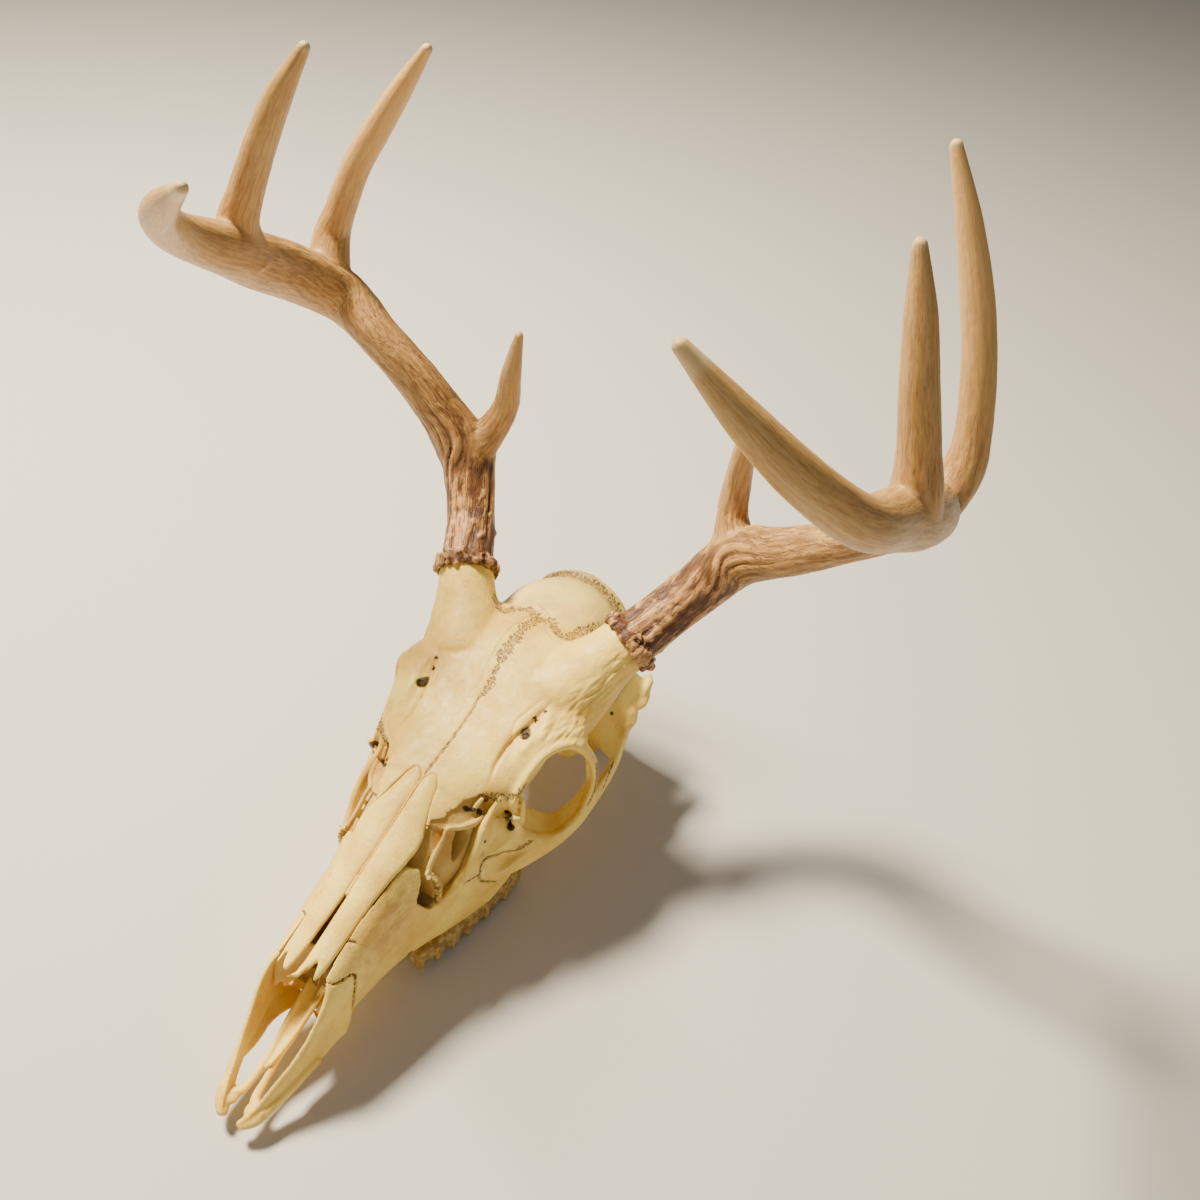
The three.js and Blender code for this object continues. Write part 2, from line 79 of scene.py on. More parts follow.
def spline(points, places):
    """Points on the centripetal curve through the points, at places from 0 to 1."""
    points = np.asarray(points, float)
    extended = np.vstack([2 * points[0] - points[1], points, 2 * points[-1] - points[-2]])
    last = len(points) - 1
    place = np.clip(np.asarray(places, float), 0, 1) * last
    first = np.minimum(place.astype(int), last - 1)
    share = (place - first)[:, None]
    p0, p1, p2, p3 = (extended[first + k] for k in range(4))

    def span(a, b):
        root = np.sqrt(np.linalg.norm(b - a, axis=1))[:, None]
        return np.where(root < 1e-4, 1.0, root)

    d0, d1, d2 = span(p0, p1), span(p1, p2), span(p2, p3)
    leave = ((p1 - p0) / d0 - (p2 - p0) / (d0 + d1) + (p2 - p1) / d1) * d1
    arrive = ((p2 - p1) / d1 - (p3 - p1) / (d1 + d2) + (p3 - p2) / d2) * d1
    cubic = 2 * p1 - 2 * p2 + leave + arrive
    square = -3 * p1 + 3 * p2 - 2 * leave - arrive
    return cubic * share**3 + square * share**2 + leave * share + p1


def between(rows, places):
    """Values at the places along rows of (place, value, value ...), without overshoot."""
    rows = np.asarray(rows, float)
    knots, values = rows[:, 0], rows[:, 1:]
    step = np.diff(knots)[:, None]
    slope = np.diff(values, axis=0) / step
    middle = np.where(slope[:-1] * slope[1:] > 0,
                      2 * slope[:-1] * slope[1:] / (slope[:-1] + slope[1:] + 1e-12), 0.0)
    tangent = np.vstack([slope[:1], middle, slope[-1:]])
    places = np.clip(places, knots[0], knots[-1])
    first = np.clip(np.searchsorted(knots, places, "right") - 1, 0, len(knots) - 2)
    width = step[first]
    share = ((places - knots[first])[:, None]) / width
    low, high = values[first], values[first + 1]
    return ((2 * share**3 - 3 * share**2 + 1) * low
            + (share**3 - 2 * share**2 + share) * width * tangent[first]
            + (3 * share**2 - 2 * share**3) * high + (share**3 - share**2) * width * tangent[first + 1])


def noise(points, size, seed=0):
    """Smooth noise from -1 to 1 whose lumps are about the given size."""
    cells = np.asarray(points, float) / size + 31.7 * (seed + 1)
    corner = np.floor(cells).astype(np.int64)
    part = cells - corner
    part = part * part * (3 - 2 * part)
    total = np.zeros(len(cells))
    for dx in (0, 1):
        for dy in (0, 1):
            for dz in (0, 1):
                x, y, z = (corner + (dx, dy, dz)).T
                n = x * 73856093 ^ y * 19349663 ^ z * 83492791
                n = (n ^ (n >> 13)) * 1274126177 & 0x7FFFFFFF
                n = (n ^ (n >> 16)) & 0xFFFF
                weight = (np.where(dx, part[:, 0], 1 - part[:, 0]) * np.where(dy, part[:, 1], 1 - part[:, 1])
                          * np.where(dz, part[:, 2], 1 - part[:, 2]))
                total += weight * (n / 32767.5 - 1)
    return total


def layered(points, size, layers=3, seed=0):
    return sum(noise(points, size / 2**k, seed + k) / 2**k for k in range(layers)) / 1.75


# --- Forms, each added to a bmesh by its own operator ---


def unit_rings(form, sides, steps):
    """Adds a sphere, and gives its vertices with the ring that each is on, its turn round the ring, its
    place from end to end, and 0 for the two poles and 1 for the rest."""
    verts = bmesh.ops.create_uvsphere(form, u_segments=sides, v_segments=steps, radius=1)["verts"]
    unit = np.array([v.co[:] for v in verts])
    ring = np.rint(np.arccos(np.clip(unit[:, 2], -1, 1)) / math.pi * steps)
    turn = np.arctan2(unit[:, 1], unit[:, 0])
    place = np.clip((ring - 1) / (steps - 2), 0, 1)
    reach = np.where((ring == 0) | (ring == steps), 0.0, 1.0)
    return verts, ring, turn, place, reach


def put(verts, spots):
    for vert, co in zip(verts, spots):
        vert.co = co


def round_limb(form, points, girths, sides=24, steps=48, up=UP, close=0.35):
    """A tapering limb along a curve. Girths are half widths, or (half width, half height)."""
    verts, ring, turn, place, reach = unit_rings(form, sides, steps)
    path = np.array([(p[0], p[1], p[2]) for p in points], float)
    pairs = np.array([g if isinstance(g, tuple) else (g, g) for g in girths], float)
    middle, girth = spline(path, place), spline(pairs, place)
    ahead = spline(path, place + 0.004) - spline(path, place - 0.004)
    ahead /= np.linalg.norm(ahead, axis=1)[:, None]
    across = np.cross(np.array(up, float)[None, :], ahead)
    across /= np.linalg.norm(across, axis=1)[:, None]
    over = np.cross(ahead, across)
    spot = (middle + across * (girth[:, 0] * np.cos(turn) * reach)[:, None]
            + over * (girth[:, 1] * np.sin(turn) * reach)[:, None])
    outward = np.where(ring == 0, -1.0, 1.0) * (1 - reach) * close * girth.min(axis=1)
    put(verts, spot + ahead * outward[:, None])


def loft(form, rows, sides=56, steps=72):
    """A form symmetric about x = 0. Rows: forward, half width, widest height, top, bottom, and the
    roundness of its upper and lower halves (1 is an ellipse, less is squarer)."""
    verts, _, turn, place, reach = unit_rings(form, sides, steps)
    rows = np.asarray(rows, float)
    forward = rows[0, 0] + place * (rows[-1, 0] - rows[0, 0])
    half, widest, top, bottom, upper, lower = between(rows, forward).T
    across, height = np.cos(turn) * reach, np.sin(turn) * reach
    power = np.where(height > 0, upper, lower)
    x = half * np.sign(across) * np.abs(across) ** power
    rise = np.where(height > 0, top - widest, widest - bottom)
    z = widest + rise * np.sign(height) * np.abs(height) ** power
    put(verts, np.stack([x, -forward, z], axis=1))


def ribbon(form, one, other, thickness, sides=24, steps=48):
    """A thin sheet with rounded edges that runs between two curves."""
    verts, _, turn, place, reach = unit_rings(form, sides, steps)
    middle = (spline(one, place) + spline(other, place)) / 2
    half = (spline(other, place) - spline(one, place)) / 2
    ahead = sum(spline(edge, place + 0.004) - spline(edge, place - 0.004) for edge in (one, other))
    out = np.cross(half, ahead)
    out *= thickness / 2 / (np.linalg.norm(out, axis=1)[:, None] + 1e-9)
    sine = np.sin(turn)
    put(verts, middle + half * (np.cos(turn) * reach)[:, None]
        + out * (np.sign(sine) * np.sqrt(np.abs(sine)) * reach)[:, None])


def shaft(form, ring, run, taper):
    """A prism that starts as the ring of points and runs on, growing or shrinking by the taper."""
    made = bmesh.ops.create_circle(form, cap_ends=True, segments=len(ring), radius=1)
    put(made["verts"], ring)
    out = bmesh.ops.extrude_face_region(form, geom=[made["verts"][0].link_faces[0]])
    moved = [g for g in out["geom"] if isinstance(g, bmesh.types.BMVert)]
    middle = Vector(np.mean(ring, axis=0))
    bmesh.ops.scale(form, verts=moved, vec=(taper, taper, taper), space=Matrix.Translation(-middle))
    bmesh.ops.translate(form, verts=moved, vec=run)
    bmesh.ops.triangulate(form, faces=[f for f in form.faces if len(f.verts) > 4])
    bmesh.ops.recalc_face_normals(form, faces=form.faces)


def ball(form, centre, radii, turn=(0, 0, 0), fine=20):
    turned = (Matrix.Rotation(turn[2], 4, "Z") @ Matrix.Rotation(turn[1], 4, "Y")
              @ Matrix.Rotation(turn[0], 4, "X"))
    placed = Matrix.Translation(Vector(centre)) @ turned @ Matrix.Diagonal((*radii, 1))
    bmesh.ops.create_uvsphere(form, u_segments=fine, v_segments=fine // 2 + 2, radius=1, matrix=placed)


def slab(form, outline, low, high, view="side"):
    """A plate with the outline's shape. Side view corners are (forward, z) and it runs from x = low to
    high; top view corners are (x, forward) and it runs from z = low to high."""
    made = bmesh.ops.create_circle(form, cap_ends=True, segments=len(outline), radius=1)
    for vert, (a, b) in zip(made["verts"], outline):
        vert.co = (low, -a, b) if view == "side" else (a, -b, low)
    face = made["verts"][0].link_faces[0]
    out = bmesh.ops.extrude_face_region(form, geom=[face])
    moved = [g for g in out["geom"] if isinstance(g, bmesh.types.BMVert)]
    shift = Vector((high - low, 0, 0)) if view == "side" else Vector((0, 0, high - low))
    bmesh.ops.translate(form, verts=moved, vec=shift)
    bmesh.ops.triangulate(form, faces=[f for f in form.faces if len(f.verts) > 4])
    bmesh.ops.recalc_face_normals(form, faces=form.faces)


def mirrored(form):
    """Adds the mirror image of the whole form."""
    copy = bmesh.ops.duplicate(form, geom=form.verts[:] + form.edges[:] + form.faces[:])
    verts = [g for g in copy["geom"] if isinstance(g, bmesh.types.BMVert)]
    faces = [g for g in copy["geom"] if isinstance(g, bmesh.types.BMFace)]
    bmesh.ops.scale(form, verts=verts, vec=(-1, 1, 1))
    bmesh.ops.reverse_faces(form, faces=faces)


def body_of(form, name):
    """The object that holds a form, which is then used up."""
    mesh = bpy.data.meshes.new(name)
    form.to_mesh(mesh)
    form.free()
    body = bpy.data.objects.new(name, mesh)
    bpy.context.scene.collection.objects.link(body)
    return body


def settle(body):
    """Applies the body's modifiers."""
    view = bpy.context.evaluated_depsgraph_get()
    mesh = bpy.data.meshes.new_from_object(body.evaluated_get(view))
    old = body.data
    body.modifiers.clear()
    body.data = mesh
    bpy.data.meshes.remove(old)
    return body


def melt(body, grain, smooth=0, factor=0.5):
    """Joins what overlaps into one skin, and smooths it."""
    remesh = body.modifiers.new("melt", "REMESH")
    remesh.mode = "VOXEL"
    remesh.voxel_size = grain
    if smooth:
        soften = body.modifiers.new("soften", "SMOOTH")
        soften.factor = factor
        soften.iterations = smooth
    return settle(body)


def soften(body, iterations, factor=0.5):
    smooth = body.modifiers.new("soften", "SMOOTH")
    smooth.factor = factor
    smooth.iterations = iterations
    return settle(body)


def join(body, *others):
    form = bmesh.new()
    for piece in (body, *others):
        form.from_mesh(piece.data)
    form.to_mesh(body.data)
    form.free()
    for piece in others:
        drop(piece)
    return body


def drop(piece):
    mesh = piece.data
    bpy.data.objects.remove(piece)
    bpy.data.meshes.remove(mesh)


def combine(body, tool, operation, keep_tool=False):
    boolean = body.modifiers.new("combine", "BOOLEAN")
    boolean.operation = operation
    boolean.solver = "MANIFOLD"
    boolean.object = tool
    settle(body)
    if not keep_tool:
        drop(tool)
    return body


def copy_of(body, name):
    twin = bpy.data.objects.new(name, body.data.copy())
    bpy.context.scene.collection.objects.link(twin)
    return twin


# --- Reading and moving vertices ---


def spots(body):
    co = np.empty(len(body.data.vertices) * 3)
    body.data.vertices.foreach_get("co", co)
    return co.reshape(-1, 3)


def directions(body):
    out = np.empty(len(body.data.vertices) * 3)
    body.data.vertex_normals.foreach_get("vector", out)
    return out.reshape(-1, 3)


def move_to(body, co):
    body.data.vertices.foreach_set("co", co.ravel())
    body.data.update()


def raised(body, height):
    """Moves each vertex along its normal by its height in mm."""
    move_to(body, spots(body) + directions(body) * height[:, None])


def reach_of(points, path):
    """Distance from each point to a polyline, and how far along it is from 0 to 1."""
    path = np.asarray(path, float)
    start, run = path[:-1], np.diff(path, axis=0)
    length = np.linalg.norm(run, axis=1)
    along = np.concatenate([[0], np.cumsum(length)])
    best = np.full(len(points), 1e9)
    place = np.zeros(len(points))
    for k in range(len(run)):
        offset = points - start[k]
        share = np.clip(offset @ run[k] / max(length[k] ** 2, 1e-9), 0, 1)
        gap = np.linalg.norm(offset - share[:, None] * run[k], axis=1)
        closer = gap < best
        best[closer] = gap[closer]
        place[closer] = (along[k] + share[closer] * length[k]) / along[-1]
    return best, place


def folded(points):
    """The points with those on the right brought over to the left."""
    return points * np.where(points[:, :1] < 0, np.array([[-1.0, 1, 1]]), 1.0)


def near(points, path, margin):
    """The numbers of the points within the margin of the path's box."""
    path = np.asarray(path, float)
    low, high = path.min(axis=0) - margin, path.max(axis=0) + margin
    return np.flatnonzero(np.all((points > low) & (points < high), axis=1))


def groove(points, path, width, depth, taper=True):
    """Heights that sink a groove, or raise a ridge if the depth is negative, along a path."""
    height = np.zeros(len(points))
    fine = spline(np.asarray(path, float), np.linspace(0, 1, 6 * len(path)))
    some = near(points, fine, 3 * width)
    if len(some):
        gap, place = reach_of(points[some], fine)
        fade = np.sqrt(np.clip(np.sin(math.pi * np.clip(place, 0.02, 0.98)), 0, 1)) if taper else 1.0
        height[some] = -depth * np.exp(-((gap / width) ** 2)) * fade
    return height


# --- The skull's forms ---

# Rows of the skull's lofted forms: forward, half width, widest height, top, bottom, roundness above, below.
BRAINCASE = [
    (2, 24, 66, 109, 43, 1, 0.8), (7, 30, 68, 113.6, 41, 0.95, 0.8), (16, 35, 68, 117.6, 39, 0.85, 0.8),
    (28, 37.5, 68, 119.6, 38, 0.8, 0.8), (42, 38.5, 70, 120, 37, 0.8, 0.9),
    (55, 37.5, 76, 118, 37, 0.8, 0.9), (68, 32, 80, 115, 38, 0.8, 0.9), (80, 25, 80, 110, 40, 0.8, 0.9),
    (96, 18, 78, 104, 42, 0.8, 0.9), (112, 16, 74, 99, 42, 0.7, 0.9), (134, 22, 66, 90, 30, 0.7, 0.9),
]
FRONTAL_ROOF = [
    (40, 27, 100, 108, 90, 0.8, 1), (47, 32, 106, 117.6, 94, 0.8, 1), (54, 35, 109, 120.6, 96, 0.8, 1),
    (66, 40, 109, 122.2, 94, 0.8, 1), (78, 44, 102.5, 121, 88, 0.8, 1), (88, 49.5, 97, 118, 84, 0.8, 1),
    (94.5, 52.5, 95.5, 115.5, 84, 0.8, 1), (102, 46, 100.5, 112.8, 84, 0.7, 1),
    (110, 41.5, 102.5, 110, 84, 0.6, 1), (120, 40, 97, 107, 80, 0.7, 1), (131, 38.5, 84, 103.2, 72, 0.8, 1),
    (141, 30, 84, 100.4, 72, 0.8, 1), (151, 22, 86, 97.6, 76, 0.8, 1),
]
FACE = [
    (113, 29, 30, 46, 14, 1, 0.6), (122, 36, 44, 70, 12.5, 0.9, 0.5), (131, 40, 54, 90, 12, 0.9, 0.5),
    (142, 39.5, 52, 97, 12, 0.9, 0.5), (154, 36, 48, 96.5, 12, 0.85, 0.5),
    (166, 31.5, 44, 91.5, 12.5, 0.8, 0.5), (180, 26.5, 40, 85.5, 14, 0.8, 0.6),
    (195, 23, 38, 79, 17.5, 0.75, 0.7), (210, 21.5, 38, 72.5, 20, 0.7, 0.8),
    (226, 20.2, 36, 65.5, 22, 0.7, 0.8), (242, 19, 34, 58, 23.5, 0.7, 0.8),
]
NOSE_WALL = 2.4
# The left orbit's rim and the inner edge of the wall behind it (x, forward, z), from its front over the top.
ORBIT_RIM = [(38, 133, 88), (39, 123, 98), (42, 111, 103.5), (49, 99, 101.5), (54.5, 93.5, 93),
             (57.5, 91, 80), (58, 93, 68), (57, 101, 57.5), (53, 115, 54), (46.5, 125, 59),
             (42, 131.5, 66.5), (39.5, 134, 78)]
ORBIT_WALL = [(36.5, 130, 85.5), (37.6, 121.6, 96), (40.4, 110.6, 101.4), (47, 99, 99.6),
              (51.8, 93.4, 90.5), (53.4, 92.4, 80), (52.5, 90.5, 67), (49.5, 97.2, 59), (45, 107.7, 57.6),
              (38, 114.7, 63), (34.5, 123, 70.5), (35.5, 128, 79)]
ORBIT_AXIS = np.array((-0.86, 0.34, -0.26))  # from the left rim into the socket
# The plate before the ear: its edge on the braincase, and its outer edge over the cheek arch.
TEMPORAL_ROOT = [(37, 62, 68), (36.5, 56, 78), (35.6, 48, 85), (34.6, 38, 88), (32, 24, 90)]
TEMPORAL_EDGE = [(54.4, 66, 63), (54, 57, 64.5), (52.8, 48, 67.5), (51.2, 38, 69.5), (50.4, 28, 68),
                 (48.6, 15, 72)]


def core():
    """The closed mass of the skull, before its openings are cut."""
    form = bmesh.new()
    loft(form, BRAINCASE)
    loft(form, FRONTAL_ROOF)
    half = bmesh.new()
    rim = line_of(ORBIT_RIM)
    round_limb(half, rim + rim[:2], [(2.1, 2.4)] * (len(rim) + 2), 16, 80)
    round_limb(half, line_of([(36, 139, 62), (42, 132, 60), (49, 123, 54)]),
               [(4, 10), (4, 8), (3, 4)], 20, 16)
    ribbon(half, line_of(TEMPORAL_ROOT), line_of(TEMPORAL_EDGE), 3.6, 32, 40)
    ball(half, at(51, 40, 67.5), (2.6, 3.4, 3.2))
    round_limb(half, line_of([(47.5, 12, 74), (50, 17, 73), (50.6, 24, 68), (50.4, 29, 65.5)]),
               [(2.2, 2.6), (2.4, 4), (2.6, 4.2), (2, 2.6)], 16, 16)
    round_limb(half, line_of([(50, 97, 101), (55, 93.5, 92), (58, 91.5, 80), (58.3, 93, 68), (57.4, 97, 58)]),
               [(2.2, 3.5), (2, 3), (2, 2.8), (2, 3), (2.2, 4.5)], 16, 32, up=FRONT_TO_BACK)
    round_limb(half, line_of([(36, 146, 46), (45, 132, 49), (52.5, 117, 51), (57, 102, 54), (57.6, 88, 57),
                              (56.6, 74.5, 55.5), (56, 63.5, 57.5), (54, 54, 61.5), (52.8, 47, 65.5),
                              (50.4, 38, 67.5), (42, 31, 66), (32, 31, 64)]),
               [(3, 7), (3, 7), (2.5, 6), (2.3, 5.6), (2.2, 6.5), (2.1, 7.5), (2.2, 6.6), (2.3, 5.6),
                (2.6, 4.8), (3.6, 4.6), (7, 5), (8, 6)], 20, 72)
    round_limb(half, line_of([(27, 76, 100), (35, 65, 111), (42, 55.5, 121), (48, 47, 129)]),
               [23, 18.5, 14.6, 13.6], 40, 24)
    ball(half, at(12.5, 9, 46), (8, 9.5, 10))
    round_limb(half, line_of([(20, 17, 50), (22.5, 15.5, 30), (22.5, 14, 12), (22, 13.5, -2)]),
               [(8, 9), (6, 7), (4.2, 4.5), (3, 3.4)], 16, 24, up=FRONT_TO_BACK)
    ball(half, at(21, 41, 35), (8, 13, 11))
    round_limb(half, line_of([(26, 42, 46), (34, 38, 50), (42, 33, 54)]), [6, 5.5, 5.5], 16, 12)
    round_limb(half, line_of([(13, 124, 24), (11, 106, 28), (9.5, 90, 36), (9, 76, 42)]),
               [(2.2, 9), (1.8, 11), (1.6, 9), (1.6, 6)], 16, 24)
    mirrored(half)
    take_in(form, half)
    round_limb(form, line_of([(-28, 8, 84), (-21, 4.5, 102), (0, 3, 111), (21, 4.5, 102), (28, 8, 84)]),
               [3.6, 4, 4.2, 4, 3.6], 16, 40)
    loft(form, FACE)
    return melt(body_of(form, "core"), 1.0, smooth=9)


def take_in(form, other):
    """Adds one form to another, and uses it up."""
    mesh = bpy.data.meshes.new("passing")
    other.to_mesh(mesh)
    other.free()
    form.from_mesh(mesh)
    bpy.data.meshes.remove(mesh)


def nose_hollow(form):
    rows = [(f, half - NOSE_WALL - 1, widest + 4, top - NOSE_WALL, 30 - 0.02 * (f - 154), upper, lower)
            for f, half, widest, top, _, upper, lower in FACE if f > 150]
    loft(form, [*rows, (262, 16, 40, 56, 28, 0.7, 0.8)], 40, 40)


# Outline (forward, z) of the opening in the face before the left orbit, from its front tip, over the top.
FACE_OPENING = [
    (168, 87.2), (164, 89.6), (160, 89.4), (156, 91.2), (152, 91), (148, 92.8), (145, 92.6), (141, 93.4),
    (138.6, 90.5), (140, 84.6), (145.4, 82), (149.8, 79.6), (153.5, 76), (157.7, 70.7), (162, 64.2),
    (166, 59.7), (171, 56.4), (176, 53.4), (179.5, 51), (182, 53.4), (186.2, 61), (184.4, 65), (182, 69),
    (179.6, 75.4), (183, 78), (189, 77.4), (180, 82), (174, 83.6), (171, 86.4),
]
# Nasal bones in plan (x, forward): the left one, and the right one as if on the left.
NASAL_BACK = [(0.5, 151), (2.2, 148.9), (4.2, 147.6), (6.4, 148.3), (8.4, 151.6), (9.6, 156.6),
              (11.4, 162.5), (13.2, 166.9), (14.8, 170.5), (15.5, 176), (14.6, 183), (13.3, 189.5),
              (12.2, 199), (11.2, 211)]
LEFT_NASAL = NASAL_BACK + [
    (11.0, 222), (10.4, 230), (9.6, 236.4), (8.6, 239.4), (7.0, 233.5), (6.5, 229.2), (5.9, 231.8),
    (4.8, 235.2), (3.2, 237.6), (2.5, 240.8), (-0.2, 241.6), (-2.4, 243.8), (0.4, 239.4), (0.9, 232),
    (0.75, 220), (0.6, 205), (0.4, 185)]
RIGHT_NASAL = NASAL_BACK + [
    (11.2, 222), (11.0, 232), (10.4, 239.4), (9.4, 239.8), (8.9, 234.8), (8.1, 234.4), (7.1, 238.4),
    (6.0, 240.4), (4.6, 241.6), (3.4, 240.6), (2.5, 236), (1.7, 229), (1.2, 218), (0.7, 205), (0.4, 185)]
NASAL_ROOF = [(140, 101.2), (151, 97.8), (166, 91.9), (180, 86.0), (195, 79.6), (210, 73.2), (226, 66.9),
              (236, 63.0), (246, 60.2)]
NASAL_WIDTH = [(140, 8), (151, 8.5), (162, 11.5), (176, 15.5), (189, 13.3), (211, 11.2), (246, 9.6)]


def nasal_height(points):
    """The nasals' upper surface: falling forward, arched, and each bone with a crown of its own."""
    x, forward = np.abs(points[:, 0]), -points[:, 1]
    roof = between(NASAL_ROOF, forward)[:, 0]
    width = between(NASAL_WIDTH, forward)[:, 0]
    crown = 1 - ((x - width / 2) / (width / 2)) ** 2
    return roof - 0.011 * x**2 + 1.1 * np.clip(crown, -0.4, 1) - 0.7


def nasal_bed(form, outline, side):
    """The room that a nasal takes out of the roof of the snout."""
    start = len(form.verts)
    slab(form, [(side * x * 1.01, f) for x, f in outline], 0, 200, view="top")
    form.verts.ensure_lookup_table()
    for vert in form.verts[start:]:
        if vert.co.z < 100:
            vert.co.z = nasal_height(np.array([vert.co[:]]))[0] - 3.4


def bent_sheet(outline, thickness, view, bend, name):
    """A thin bone cut to an outline and then bent to its surface."""
    form = bmesh.new()
    slab(form, outline, -thickness / 2, thickness / 2, view=view)
    sheet = melt(body_of(form, name), BONE_GRAIN, smooth=2)
    co = spots(sheet)
    bend(co)
    move_to(sheet, co)
    return sheet


def nasal(outline, side, name):
    def bend(co):
        co[:, 2] += nasal_height(co) - 1.3

    return bent_sheet([(side * x, f) for x, f in outline], 2.2, "top", bend, name)


# The suture between premaxilla and maxilla in side view (forward, z), from its upper end.
PREMAXILLA_SUTURE = [(235.4, 57.4), (232.6, 55.2), (230.4, 56.2), (228, 54.8), (226.2, 55.6), (224.4, 53.2),
                     (225.4, 49.6), (224.6, 46), (226.8, 42), (226.2, 37), (228.6, 31), (229.6, 25),
                     (233, 18)]
BLADE = [  # the premaxilla's side view (forward, z), from the tip along its lower edge
    (286, 8.8), (280, 6.8), (272, 9.4), (262, 12.6), (250, 16.6), (240, 19.6), *reversed(PREMAXILLA_SUTURE),
    (240, 52), (247, 44.4), (253, 36.8), (261, 29.6), (270, 23), (277, 18), (283, 14.4), (286.3, 11.6),
]
# Rows of the snout's wall carried on to the tips: forward, half width, widest height, top.
BLADE_WALL = [(212, 21.3, 37.8, 71.8), (226, 20.0, 36, 65.5), (242, 18.8, 33, 58), (256, 16.4, 25, 41),
              (270, 12.6, 16, 27.5), (281, 9.0, 11, 19), (287, 5.0, 10, 15)]
# The shelf at the blade's foot: its edge on the blade, and its free edge beside the fissure.
SHELF_FOOT = [(14.4, 264, 12.8), (16, 256, 15), (17.4, 246, 17.4), (17.8, 238, 19.2), (17.2, 230, 20.8),
              (16.8, 224, 22)]
SHELF_EDGE = [(12.4, 264, 13.4), (11.0, 256, 15.2), (11.2, 247, 17.6), (8.4, 240, 20.2), (5.0, 236.4, 21.6),
              (1.2, 234.8, 22)]


def premaxilla(side, name):
    """Blade, tip and the rod beside the middle line, which join in front of the fissure."""
    def bend(co):
        half, widest, top = between(BLADE_WALL, -co[:, 1]).T
        up = np.clip((co[:, 2] - widest) / (top - widest), 0, 0.97)
        co[:, 0] += half * (1 - up**2.86) ** 0.35 - 1.2

    blade = bent_sheet(BLADE, 2.2, "side", bend, name)
    form = bmesh.new()
    ball(form, at(7.6, 278.4, 11.9), (5.2, 4.6, 2.5))
    round_limb(form, line_of([(17.4, 250, 21), (15, 261, 17.6), (11.6, 272, 13.6), (8.6, 280, 11),
                              (4.4, 285.6, 9.6)]),
               [(1.7, 3.4), (2.2, 3.2), (2.9, 3), (3.5, 3), (2.1, 2.0)], 20, 40)
    round_limb(form, line_of([(11.4, 277.5, 12.4), (7.4, 277, 12.4), (3.9, 274.5, 12.6), (2.6, 267, 14.2),
                              (2.0, 258, 17.8), (2.4, 249, 21.2), (2.8, 240, 24.8), (3.2, 232, 28.4)]),
               [(2.8, 3), (2.6, 2.4), (2.1, 2), (1.7, 1.6), (1.5, 1.6), (1.4, 1.6), (1.3, 1.4),
                (1.1, 1.2)], 16, 60)
    ribbon(form, line_of(SHELF_FOOT), line_of(SHELF_EDGE), 1.8, 20, 40)
    bone = melt(join(blade, body_of(form, "rod")), BONE_GRAIN, smooth=3)
    if side < 0:
        flip(bone)
    return bone


def flip(body):
    """Turns a left piece into a right one."""
    form = bmesh.new()
    form.from_mesh(body.data)
    bmesh.ops.scale(form, verts=form.verts, vec=(-1, 1, 1))
    bmesh.ops.reverse_faces(form, faces=form.faces)
    form.to_mesh(body.data)
    form.free()
    return body


VOMER_EDGE = [(1.2, 262, 18.6), (2.7, 252, 22), (3.5, 243, 26), (4.1, 234, 30.2), (4.4, 226, 33.8)]


def vomer():
    """The trough in the middle of the nose, with the wall that it stands on."""
    def bend(co):
        x, forward = co[:, 0], -co[:, 1]
        floor = between([(190, 45), (212, 38.4), (222, 33.2), (230, 29.4), (240, 25.2), (250, 21.4),
                         (262, 17.8)],
                        forward)[:, 0]
        co[:, 2] += floor + 0.1 * x**2

    half = [(1.0, 264), (1.8, 259), (2.8, 251), (3.5, 243), (4.1, 234), (4.6, 226), (4.2, 214), (3.6, 192)]
    trough = bent_sheet([*half, *[(-x, f) for x, f in reversed(half)]], 1.7, "top", bend, "vomer")
    form = bmesh.new()
    slab(form, [(250, 19), (240, 23.6), (226, 29.6), (212, 37), (190, 44.4), (168, 56), (150, 70),
                (150, 26), (226, 22), (244, 17)], -0.8, 0.8)
    for edge in (1, -1):
        round_limb(form, [at(edge * x, f, z) for x, f, z in VOMER_EDGE], [0.9, 1.1, 1.2, 1.1, 0.8], 12, 40)
    return melt(join(trough, body_of(form, "wall")), BONE_GRAIN, smooth=1)


# The thin sheets inside the nose, seen between the nasals' tips and the trough: the edge that each hangs
# from and its ragged free edge. The first is on the animal's left and the second on its right.
CONCHAE = (
    ([(1.5, 221, 36), (6, 219, 38), (11, 219, 40), (17.5, 221, 42)],
     [(0.6, 233.4, 27.4), (2.8, 236.4, 28.4), (4.6, 235.4, 27.4), (6.6, 237.2, 28.2), (8.6, 235.6, 28.6),
      (11, 235.8, 30.4), (13.6, 234.4, 30), (17.6, 233, 31)]),
    ([(-17.4, 233, 50), (-14, 232, 55), (-9, 229, 59), (-4, 226, 60), (-1.2, 225, 60)],
     [(-16.6, 236, 39), (-14.4, 238.8, 34.2), (-12.6, 236.6, 36), (-11, 236.8, 33.6), (-9.2, 234.2, 35.4),
      (-7.4, 234.2, 38), (-5.8, 232.4, 40.6), (-4.6, 233.4, 43.6), (-3, 230.4, 43.4), (-1.2, 229.4, 47)]),
)


def conchae():
    form = bmesh.new()
    for root, edge in CONCHAE:
        root = spline(line_of(root), np.linspace(0, 1, len(edge)))
        ribbon(form, root, line_of(edge), 1.5, 20, 90)
    return melt(body_of(form, "conchae"), BONE_GRAIN, smooth=1)


